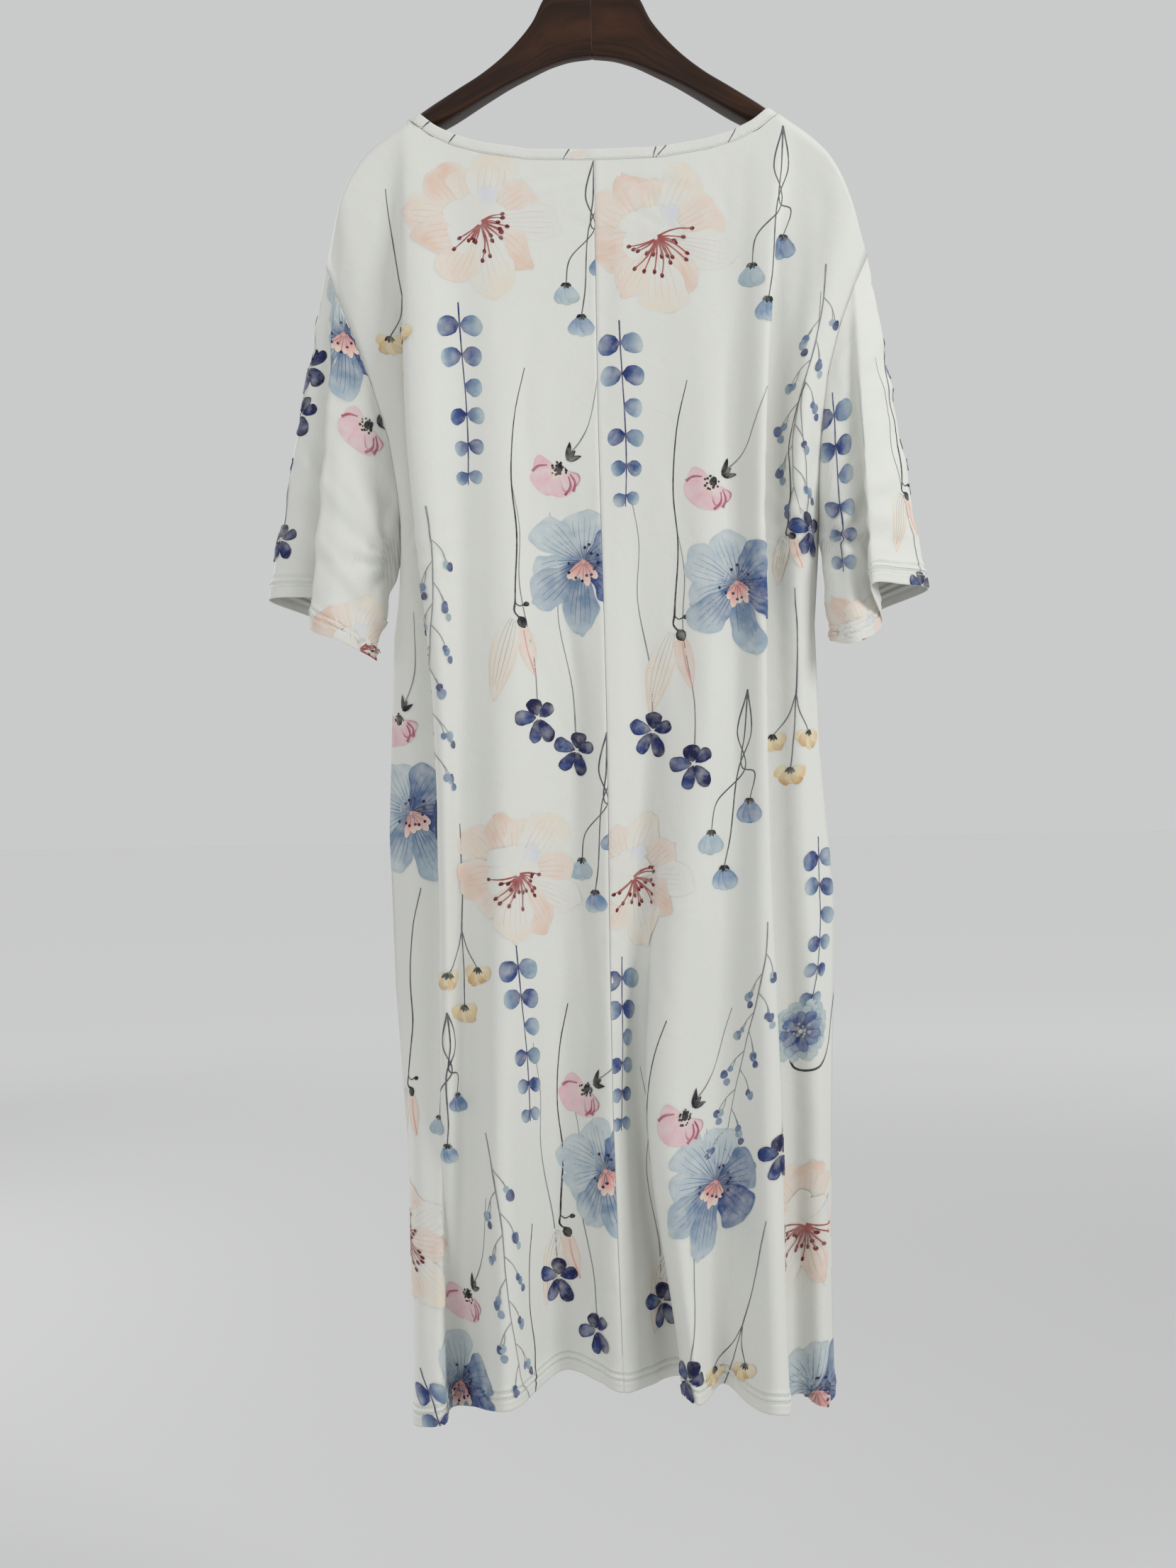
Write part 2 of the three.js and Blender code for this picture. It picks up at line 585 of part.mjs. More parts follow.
function hookGeometry() {
  const radius = HOOK_INSIDE + WIRE / 2;
  const middle = -HOOK_INSIDE;
  const stem = [HOOK_BOTTOM, HOOK_BOTTOM + WIRE / 2, HOOK_BOTTOM + WIRE]
    .map((z) => new THREE.Vector3(0, 0, z));
  const bend = Array.from({ length: HOOK_POINTS }, (_, i) => {
    const angle = THREE.MathUtils.degToRad(lerp(HOOK_START, HOOK_END, i / (HOOK_POINTS - 1)));
    return new THREE.Vector3(radius * Math.cos(angle), 0, middle + radius * Math.sin(angle));
  });
  const path = new THREE.CatmullRomCurve3([...stem, ...bend], false, 'centripetal');
  const section = new THREE.Shape();
  section.absarc(0, 0, WIRE / 2, 0, 2 * Math.PI, false);
  return new THREE.ExtrudeGeometry(section, { steps: HOOK_STEPS, curveSegments: 4, extrudePath: path });
}

function ferruleGeometry() {
  const profile = FERRULE.map((row) => new THREE.Vector2(row.radius, FERRULE_BOTTOM + row.height));
  return new THREE.LatheGeometry(profile, FERRULE_SIDES).rotateX(Math.PI / 2);
}

// Materials and the whole dress

const material = (color, roughness, metalness) => (
  new THREE.MeshStandardMaterial({ color, roughness, metalness }));
const jersey = () => material(0xeeeeea, 0.75, 0);
const walnut = () => material(0x3a231a, 0.4, 0);
const steel = () => material(0xc8c8c8, 0.25, 1);

const dress = new THREE.Group();

function add(name, geometry, finish) {
  const mesh = new THREE.Mesh(geometry, finish);
  mesh.name = name;
  dress.add(mesh);
}

add('back_left', shellGeometry(leftGrid, backNormals.slice(0, centre + 1), WALL, false), jersey());
add('back_right', shellGeometry(rightGrid, backNormals.slice(centre), WALL, false), jersey());
add('front', shellGeometry(frontGrid, frontNormals, WALL, false), jersey());
const sleeves = { sleeve_left: [SIDE_LEFT, CUFF_LEFT], sleeve_right: [SIDE_RIGHT, CUFF_RIGHT] };
Object.entries(sleeves).forEach(([name, [side, cuff]]) => {
  const grid = sleeveGrid(side, cuff);
  add(name, shellGeometry(grid, gridNormals(grid, true), WALL, true), jersey());
});
const band = bindingGrid();
add('neck_binding', shellGeometry(band, gridNormals(band, true), BINDING_WALL, true), jersey());
add('hanger_left', hangerHalf(-1), walnut());
add('hanger_right', hangerHalf(1), walnut());
add('hook', hookGeometry(), steel());
add('hook_ferrule', ferruleGeometry(), steel());

export default dress;
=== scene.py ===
"""A short-sleeved printed jersey dress on a two-part wooden hanger, hung by its hook.

The shape tables are in millimetres and are turned into metres when a mesh is made.
X is across the dress, -Y is the side of the dress's back, +Z is up.
"""
import math

import bpy
import numpy as np
from mathutils import Matrix


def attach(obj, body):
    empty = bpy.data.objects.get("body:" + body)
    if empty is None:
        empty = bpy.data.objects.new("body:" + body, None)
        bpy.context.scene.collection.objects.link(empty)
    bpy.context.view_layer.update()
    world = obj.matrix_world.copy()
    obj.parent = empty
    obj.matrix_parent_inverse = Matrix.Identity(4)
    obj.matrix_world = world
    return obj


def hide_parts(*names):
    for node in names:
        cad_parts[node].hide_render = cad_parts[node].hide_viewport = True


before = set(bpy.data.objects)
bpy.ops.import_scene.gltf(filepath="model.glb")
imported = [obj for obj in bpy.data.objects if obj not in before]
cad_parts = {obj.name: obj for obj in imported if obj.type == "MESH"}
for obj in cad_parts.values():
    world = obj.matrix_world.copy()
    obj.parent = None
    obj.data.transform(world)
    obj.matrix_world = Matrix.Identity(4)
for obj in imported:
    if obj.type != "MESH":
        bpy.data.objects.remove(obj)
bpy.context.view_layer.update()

MM = 0.001

# Driving sizes
CLOTH = 0.8  # how thick the cloth looks at its edges
NECK_HALF = 171  # from the middle to where the neckline crosses the shoulder
BACK_HANG = 24  # how far behind the hanger's middle plane the back panel hangs
SHOULDER_DROP = 14  # height of the round where the cloth turns over the hanger
HEM_MIDDLE = -1322  # the hem's height at the middle
HEM_DIP = 23  # how much lower it is at HEM_HALF to either side
HEM_HALF = 180
BINDING_HEIGHT = 10
BINDING_GAP = 0.3  # between the binding and the panels
SEAM = 0.12  # each edge's distance from its seam
CHEST, WAIST, LOW = -459, -720, -1060  # the heights at which the folds are given, over the hem's
UNDERARM = 0.26  # its share of the way down a side edge
UNDERARM_AT = 6  # its row in a side table, and its place on the armhole
DECAL_LIFT = 0.13  # how far the print lies over the mesh
DECAL_STEP = 0.03  # between one shape of the print and the next over it
DECAL_MARGIN = 0.2  # how far inside the cloth's edges the print ends
BULGE_LIFT, BULGE_STEP = 0.47, 0.14  # how much more of each where the cloth's mesh bulges
HEM_STITCHES = (10.5, 16)  # each row's height over the hem
HEM_FINE = np.arange(0, 22, 1.0)  # rows of the mesh over a hem
PANEL_HEIGHT = 1130  # roughly, to turn heights over the hem into shares of the way down

# The shoulder's ridge: x, z
RIDGE = np.array([
    (0, -59), (36, -60), (55, -88), (77, -113), (100, -132), (125, -148.2), (150, -164.2), (172, -179.8),
    (190, -192.5), (201, -201.2), (212, -212), (220, -223.5), (228, -240), (237, -266), (250, -307)], float)

# The necklines: x, z
NECK_BACK = [(0, -223.5), (60, -222), (104, -215), (130, -207.5), (150, -197.5), (163, -187)]
NECK_FRONT = [(0, -262), (60, -254), (104, -236), (130, -219), (150, -202), (163, -188)]

# The panels' side edges: share of the way down, x, z, depth of the back's edge, of the front's
SIDE_LEFT = np.array([
    (0, -247, -309, 0, 0), (0.03, -237, -338, -12, 10), (0.07, -222, -376, -15, 13),
    (0.12, -206, -420, -14, 13), (0.17, -191, -472, -12, 12), (0.215, -184, -522, -9, 9),
    (UNDERARM, -181, -582, 0, 0), (0.34, -190, -652, -3, -3), (0.51, -197, -830, -5, -5),
    (0.65, -193, -972, -9, -9), (0.79, -183, -1118, -18, -18), (0.92, -178, -1258, -29, -29),
    (1, -180, -1345, -35, -35)], float)
SIDE_RIGHT = np.array([
    (0, 250, -307, 0, 0), (0.03, 236, -336, -12, 10), (0.07, 222, -372, -15, 12),
    (0.12, 210, -418, -14, 12), (0.17, 204, -466, -12, 11), (0.215, 201, -515, -9, 8),
    (UNDERARM, 201, -570, 0, 0), (0.34, 196, -645, 1, 1), (0.45, 199, -760, -1, -1),
    (0.58, 210, -905, -3, -3), (0.72, 205, -1050, -4, -4), (0.86, 201, -1200, -5, -5),
    (1, 202, -1345, -6, -6)], float)

# Fold lines: name, x on the top edge, then x and depth at chest, waist, low and hem
BACK_FOLDS = [
    ("strip_left", -222, (-179, -15), (-176, -16), (-171, -28), (-173, -74)),
    ("tuck_left", -190, (-163, -16), (-147, -22), (-153, -34), (-152, -84)),
    ("edge_left", -NECK_HALF, (-174, -41), (-153, -44), (-150, -45), (-149, -40)),
    ("corner_left", -167, (-167, -45), (-149, -49), (-147, -49), (-147, -37)),
    ("ridge_left", -150, (-152, -46), (-142, -50), (-141, -50), (-143, -36)),
    ("valley_left", -122, (-126, -34), (-129, -38), (-132, -41), (-128, -48)),
    ("belly_left", -88, (-92, -37), (-88, -50), (-98, -64), (-96, -84)),
    ("arch_left", -42, (-45, -29), (-30, -31), (-40, -28), (-44, -16)),
    ("centre", 0, (0, -28), (3, -41), (3, -46), (8.5, -48)),
    ("recede", 30, (30, -29), (38, -33), (26, -25), (58, -10)),
    ("turn", 48, (47, -29), (48, -34), (37, -28), (73, -15)),
    ("overlap_edge", 66, (66, -30), (62, -39), (34, -46), (61, -57)),
    ("belly_middle", 98, (96, -34), (92, -47), (53, -58), (73, -84)),
    ("arch_right", 128, (127, -32), (123, -36), (108, -42), (98, -46)),
    ("belly_right", 152, (141, -43), (137, -45), (138, -62), (138, -88)),
    ("corner_right", 167, (147, -45), (143, -47), (147, -60), (148, -87)),
    ("edge_right", NECK_HALF, (151, -42), (147, -44), (152, -54), (154, -80)),
    ("tuck_right", 188, (143, -18), (141, -20), (150, -26), (157, -34)),
    ("valley_right", 205, (167, -16), (160, -15), (166, -18), (168, -22)),
    ("ridge_right", 226, (184, -29), (181, -19), (187, -25), (187, -32)),
]
FRONT_FOLDS = [
    ("turn_right", 222, (189, 28), (190, 20), (199, 26), (199, 32)),
    ("ridge_1", 196, (160, 38), (164, 36), (164, 50), (160, 66)),
    ("valley_1", NECK_HALF, (126, 30), (122, 26), (120, 26), (118, 26)),
    ("corner_right", 165, (117, 30), (113, 27), (110, 30), (107, 35)),
    ("ridge_2", 120, (85, 33), (80, 37), (76, 52), (72, 72)),
    ("valley_2", 62, (40, 29), (34, 27), (30, 28), (27, 32)),
    ("ridge_3", 0, (0, 31), (-8, 37), (-14, 54), (-20, 77)),
    ("valley_3", -62, (-44, 29), (-55, 27), (-60, 28), (-66, 30)),
    ("ridge_4", -120, (-88, 33), (-100, 38), (-106, 54), (-112, 71)),
    ("corner_left", -165, (-120, 30), (-128, 29), (-134, 34), (-139, 44)),
    ("valley_4", -NECK_HALF, (-130, 30), (-136, 28), (-142, 30), (-148, 36)),
    ("ridge_5", -200, (-164, 38), (-170, 30), (-168, 30), (-168, 20)),
]

# Cuffs: place on the armhole (0 shoulder, 6 underarm, 12 shoulder again), x, y, z
CUFF_LEFT = np.array([
    (0, -304, -4, -615), (0.3, -280, -16, -614), (0.6, -250, -14, -618), (1, -261, -39, -645),
    (3.5, -235, -46, -656), (UNDERARM_AT, -208, -18, -670), (8.5, -222, 14, -655),
    (10.5, -262, 22, -632)], float)
CUFF_RIGHT = np.array([
    (0, 300, -2, -615), (0.5, 272, -32, -613), (1, 242, -46, -614), (1.7, 254, -22, -648),
    (3.8, 226, -38, -665), (UNDERARM_AT, 210, -14, -660), (8.5, 221, 15, -652), (10.5, 257, 24, -632)], float)

# The hanger, one half: x, top, bottom, half thickness, roundness of its section
HANGER = np.array([
    (0, -62, -121.5, 8.5, 0.34), (20, -62, -123.8, 8.7, 0.34), (36, -62.5, -128.4, 9, 0.34),
    (43, -68, -131.2, 9.2, 0.34), (55, -91, -136.8, 9.8, 0.35), (77, -117, -147.6, 11.5, 0.38),
    (100, -136.5, -161, 13.5, 0.42), (125, -152.5, -176.5, 15.8, 0.5), (150, -167.5, -191, 17.8, 0.8),
    (172, -182.5, -206.5, 19.5, 1), (190, -195.5, -218, 20.5, 1), (201, -204.5, -224.5, 19, 1),
    (208, -212, -229, 14, 1), (212, -219, -229, 7, 1)], float)

# Small helpers


def smooth(a, b, x):
    """0 at a and before it, 1 at b and past it, smooth between."""
    t = np.clip((np.asarray(x, float) - a) / (b - a), 0, 1)
    return t * t * (3 - 2 * t)


def bell(x, width):
    return np.exp(-((np.asarray(x, float) / width) ** 2))


def hash_grid(i, k, seed):
    """Numbers from -1 to 1, the same for the same cell and seed."""
    n = (i.astype(np.int64) * 374761393 + k.astype(np.int64) * 668265263 + seed * 2147483647) & 0xFFFFFFFF
    n = ((n ^ (n >> 13)) * 1274126177) & 0xFFFFFFFF
    return ((n ^ (n >> 16)) & 0xFFFF) / 32767.5 - 1


def noise(u, v, seed):
    """Smooth noise from -1 to 1 with cells of size 1."""
    u, v = np.broadcast_arrays(np.asarray(u, float), np.asarray(v, float))
    i, k = np.floor(u), np.floor(v)
    a, b = u - i, v - k
    a, b = a * a * (3 - 2 * a), b * b * (3 - 2 * b)
    low = hash_grid(i, k, seed) * (1 - a) + hash_grid(i + 1, k, seed) * a
    high = hash_grid(i, k + 1, seed) * (1 - a) + hash_grid(i + 1, k + 1, seed) * a
    return low * (1 - b) + high * b


def curve_through(points, at):
    """A centripetal curve through points, read at places counted in points."""
    p = np.asarray(points, float)
    p = np.vstack([2 * p[0] - p[1], p, 2 * p[-1] - p[-2]])
    at = np.clip(np.asarray(at, float), 0, len(p) - 3)
    i = np.minimum(np.floor(at).astype(int), len(p) - 4)
    t = (at - i)[:, None]
    p0, p1, p2, p3 = p[i], p[i + 1], p[i + 2], p[i + 3]
    step = lambda a, b: np.sqrt(np.linalg.norm(b - a, axis=1))[:, None]
    d0, d1, d2 = step(p0, p1), step(p1, p2), step(p2, p3)
    d1 = np.where(d1 < 1e-4, 1.0, d1)
    d0, d2 = np.where(d0 < 1e-4, d1, d0), np.where(d2 < 1e-4, d1, d2)
    m1 = ((p1 - p0) / d0 - (p2 - p0) / (d0 + d1) + (p2 - p1) / d1) * d1
    m2 = ((p2 - p1) / d1 - (p3 - p1) / (d1 + d2) + (p3 - p2) / d2) * d1
    c2, c3 = -3 * p1 + 3 * p2 - 2 * m1 - m2, 2 * p1 - 2 * p2 + m1 + m2
    return p1 + m1 * t + c2 * t**2 + c3 * t**3


def run_along(points, axis=0):
    """How far along its row of points each one lies."""
    steps = np.linalg.norm(np.diff(points, axis=axis), axis=-1)
    return np.concatenate([np.zeros_like(np.take(steps, [0], axis)), np.cumsum(steps, axis=axis)], axis=axis)


def ridge_height(x):
    return np.interp(np.abs(x), RIDGE[:, 0], RIDGE[:, 1])


def hang_share(x, z):
    """0 on the shoulder's ridge, growing to 1 where the cloth hangs free of it."""
    left = np.clip(1 - np.maximum(0, ridge_height(x) - z) / SHOULDER_DROP, 0, 1)
    return np.sqrt(np.maximum(0, 1 - left * left))


def top_height(neckline, x):
    across = np.abs(x)
    rows = np.array(neckline + [(NECK_HALF, float(ridge_height(NECK_HALF)))], float)
    return np.where(across >= NECK_HALF, ridge_height(x), np.interp(across, rows[:, 0], rows[:, 1]))


def hem_height(x):
    return HEM_MIDDLE - HEM_DIP * (np.abs(x) / HEM_HALF) ** 1.5


def smooth_at(heights, values, z):
    """A smooth curve through values at falling heights. Each is a list of arrays."""
    slope = lambda a, b: (values[b] - values[a]) / (heights[b] - heights[a])
    out = np.zeros_like(z)
    last = len(heights) - 1
    for i in range(last):
        step = heights[i + 1] - heights[i]
        start, end = slope(max(i - 1, 0), i + 1), slope(i, min(i + 2, last))
        t = np.clip((z - heights[i]) / step, 0, 1)
        part = ((2 * t**3 - 3 * t**2 + 1) * values[i] + (t**3 - 2 * t**2 + t) * step * start
                + (3 * t**2 - 2 * t**3) * values[i + 1] + (t**3 - t**2) * step * end)
        inside = (z <= heights[i]) if i else np.ones_like(z, bool)
        out = np.where(inside, part, out)
    return out


# The cloth's grids


def side_as_fold(side, depth):
    rows = side[np.argsort(side[:, 2])]
    at = lambda z: tuple(np.interp(z, rows[:, 2], rows[:, k]) for k in (1, depth))
    return ("side", side[0, 1], at(CHEST), at(WAIST), at(LOW), (side[-1, 1], side[-1, depth]))


BACK, FRONT = 3, 4  # the side tables' columns of depths


def panel_points(folds, start, end, depth, neckline, hang, at, rows):
    """Points of a panel at places across (counted in fold lines) and shares of the way down."""
    lines = [side_as_fold(start, depth), *folds, side_as_fold(end, depth)]
    top = curve_through([(line[1], 0) for line in lines], at)[:, 0]
    levels = [curve_through([line[k] for line in lines], at) for k in (2, 3, 4, 5)]
    begin, finish = top_height(neckline, top), hem_height(levels[3][:, 0])
    at, rows = at[:, None], rows[None, :]
    z = begin[:, None] + (finish - begin)[:, None] * rows
    full = lambda v: np.broadcast_to(np.asarray(v, float).reshape(-1, 1), z.shape)
    heights = [full(height) for height in (begin, CHEST, WAIST, LOW, finish)]
    x = smooth_at(heights, [full(top)] + [full(level[:, 0]) for level in levels], z)
    y = smooth_at(heights, [full(hang)] + [full(level[:, 1]) for level in levels], z)
    points = np.stack([x, y * hang_share(x, z), z], axis=-1)
    # The side edges come from their own tables, and the cloth eases into them
    for side, away in ((start, at), (end, (len(lines) - 1) - at)):
        edge = np.stack([np.interp(rows[0], side[:, 0], side[:, k]) for k in (1, depth, 2)], axis=-1)
        own = points[0] if side is start else points[-1]
        ease = np.clip(1 - away / 0.62, 0, 1)[..., None] ** 1.35
        points = points + ease * (edge - own)[None]
    return points


TOP_ROWS = [0, 0.0003, 0.001, 0.002, 0.0035, 0.005, 0.007, 0.009, 0.0115, 0.014, 0.017, 0.02]


def panel_rows():
    """Shares of the way down a panel, close together at its top and over its hem."""
    low = HEM_FINE / PANEL_HEIGHT
    middle = np.linspace(0.0235, 1 - low[-1] - 0.0035, 262)
    return np.concatenate([TOP_ROWS, middle, (1 - low)[::-1]])


def grid_normals(grid, closed=False):
    """Outward directions of a grid of columns."""
    if closed:
        along = np.roll(grid, -1, 0) - np.roll(grid, 1, 0)
    else:
        along = np.gradient(grid, axis=0)
    down = np.gradient(grid, axis=1)
    n = np.cross(down, along)
    return n / np.maximum(np.linalg.norm(n, axis=-1, keepdims=True), 1e-9)


def armhole_point(side, at):
    """Down the back's side edge to the underarm, and up the front's."""
    place = np.where(at <= UNDERARM_AT, at, 2 * UNDERARM_AT - at)
    x, z, back, front = (np.interp(place, range(UNDERARM_AT + 1), side[:UNDERARM_AT + 1, k])
                         for k in (1, 2, BACK, FRONT))
    return np.stack([x, np.where(at <= UNDERARM_AT, back, front), z], axis=-1)


def cuff_point(cuff, at):
    """Reads the closed cuff line at any place round it."""
    turn = 2 * UNDERARM_AT
    wrapped = np.vstack([cuff[-2:], cuff, cuff[:3]])
    wrapped[:2, 0] -= turn
    wrapped[-3:, 0] += turn
    return curve_through(wrapped[:, 1:], np.interp(at, wrapped[:, 0], np.arange(len(wrapped))))


def sleeve_points(side, cuff, at, rows):
    """Points of a sleeve on straight lines from the armhole to the cuff."""
    top, end = armhole_point(side, at), cuff_point(cuff, at)
    way = end - top
    start = top + way / np.linalg.norm(way, axis=-1, keepdims=True) * 2 * SEAM
    return start[:, None] + rows[None, :, None] * (end - start)[:, None]


# Creases: height and x of the line at its top and bottom, width, depth (a ridge where it's below 0)
BACK_CREASES = [
    ((-560, -29), (-1357, -10), 6.5, 3.2),
    ((-300, -62), (-980, -60), 10, 1.3),
    ((-240, 209), (-420, 198), 8, 2.6),
    ((-700, 46), (-930, 40), 10, 1.6),
    ((-330, 118), (-1330, 92), 6, 1.8),
    ((-250, -176), (-560, -170), 5, 2.0),
    ((-820, -92), (-1345, -84), 8, -1.6),
    ((-950, 20), (-1340, 44), 6, 1.8),
    ((-880, 112), (-1345, 122), 7, 1.6),
    ((-300, 168), (-640, 160), 6, 1.4),
    ((-700, -112), (-1345, -108), 6, 1.5),
    ((-230, 30), (-330, 96), 5, 0.9),
    ((-234, -14), (-252, -98), 4.5, 1.7),
    ((-246, -8), (-272, -92), 4.5, 1.5),
    ((-258, -18), (-296, -100), 4.5, 1.3),
    ((-236, 16), (-250, 92), 4.5, 1.4),
    ((-262, 24), (-300, 84), 4.5, 1.1),
    ((-276, -30), (-300, 40), 4.5, 1.1),
    ((-500, 60), (-620, 96), 6, 0.9),
    ((-640, -70), (-760, -30), 6, 0.9),
]
FRONT_CREASES = [
    ((-420, 20), (-1340, 4), 7, 2.2),
    ((-600, 60), (-1340, 50), 8, 1.8),
    ((-520, -30), (-1340, -38), 7, 2.0),
    ((-330, 110), (-900, 104), 9, 1.4),
    ((-330, -112), (-1000, -118), 9, 1.6),
    ((-900, 140), (-1345, 138), 7, 1.8),
    ((-800, -86), (-1345, -90), 8, -1.5),
    ((-300, -40), (-360, 20), 5, 0.5),
    ((-280, 50), (-330, 10), 5, 0.4),
]
SLEEVE_CREASES_LEFT = [
    ((-440, -236), (-494, -186), 4, 1.3),
    ((-598, -230), (-552, -190), 4.5, 1.8),
    ((-626, -214), (-574, -184), 4.5, 2.0),
    ((-556, -198), (-510, -178), 4, 1.6),
    ((-470, -238), (-640, -240), 6, -1.4),
]
SLEEVE_CREASES_RIGHT = [
    ((-506, 198), (-566, 232), 5.5, -3.4),
    ((-524, 194), (-590, 218), 5, 3.0),
    ((-552, 212), (-652, 223), 5, 2.6),
    ((-560, 226), (-634, 258), 5, -2.2),
    ((-390, 213), (-484, 228), 6, -1.6),
    ((-600, 232), (-655, 246), 4, 1.6),
]


def crease_line(x, z, start, end, width, depth, seed):
    """How far one crease pushes the cloth in (or out, where its depth is below 0)."""
    (z0, x0), (z1, x1) = start, end
    if abs(z1 - z0) > 1.2 * abs(x1 - x0):
        along = (z - z0) / (z1 - z0)
        off = x - (x0 + (x1 - x0) * along) + 4 * noise(z / 90, 0 * z, seed + int(abs(x0)))
    else:
        way = np.array([x1 - x0, z1 - z0], float)
        size = np.linalg.norm(way)
        along = ((x - x0) * way[0] + (z - z0) * way[1]) / size**2
        off = ((x - x0) * way[1] - (z - z0) * way[0]) / size
    uneven = 0.75 + 0.35 * noise(z / 60, x / 200, seed + 7)
    to_hem = z1 < -1300
    fade = smooth(0, 0.16, along) * smooth(0, 0.1 if to_hem else 0.22, (1.06 if to_hem else 1) - along)
    return depth * fade * uneven * (bell(off, width) - 0.42 * bell(off, 2.3 * width))


def relief(x, z, creases, seed):
    """How far the cloth stands out, from its creases and its small unevenness."""
    out = np.zeros_like(x)
    for crease in creases:
        out -= crease_line(x, z, *crease, seed)
    low = smooth(-380, -1250, z)
    warp = 9 * noise(x / 70, z / 160, seed + 1)
    out += (0.35 + 1.5 * low) * noise((x + warp) / 19, z / 210, seed + 2)
    out += (0.2 + 0.35 * low) * noise((x + warp) / 9.5, z / 90, seed + 3)
    lean = 0.55 * x + 0.83 * z
    cross = 0.83 * x - 0.55 * z
    some = smooth(0.1, 0.7, noise(x / 85, z / 120, seed + 4))
    out += 0.32 * some * noise(lean / 34, cross / 8.5, seed + 5)
    other = smooth(0.1, 0.7, noise(x / 95, z / 110, seed + 8))
    out += 0.3 * other * noise((0.9 * x + 0.4 * z) / 8, (0.9 * z - 0.4 * x) / 36, seed + 9)
    return out


# Gathers at the underarms: x, z, reach, height, folds round it
GATHERS = [(201, -570, 52, 1.7, 11), (-181, -582, 44, 1.3, 9)]


def gather(x, z, cx, cz, reach, height, count, seed):
    """Small folds that run out from one point, as at an underarm."""
    dx, dz = x - cx, z - cz
    r = np.hypot(dx, dz)
    turn = np.arctan2(dz, dx)
    waves = np.sin(count * turn + 3 * noise(turn * 2, r / 60, seed))
    return height * waves * np.minimum(r / 40, 1) * bell(r, reach)


HEM_ZONE = 24  # how far over the hem a cloth is read at every millimetre
MOST_OVER, MOST_BENT = 3, 1.2  # the most that the print follows a bulge, and a bend


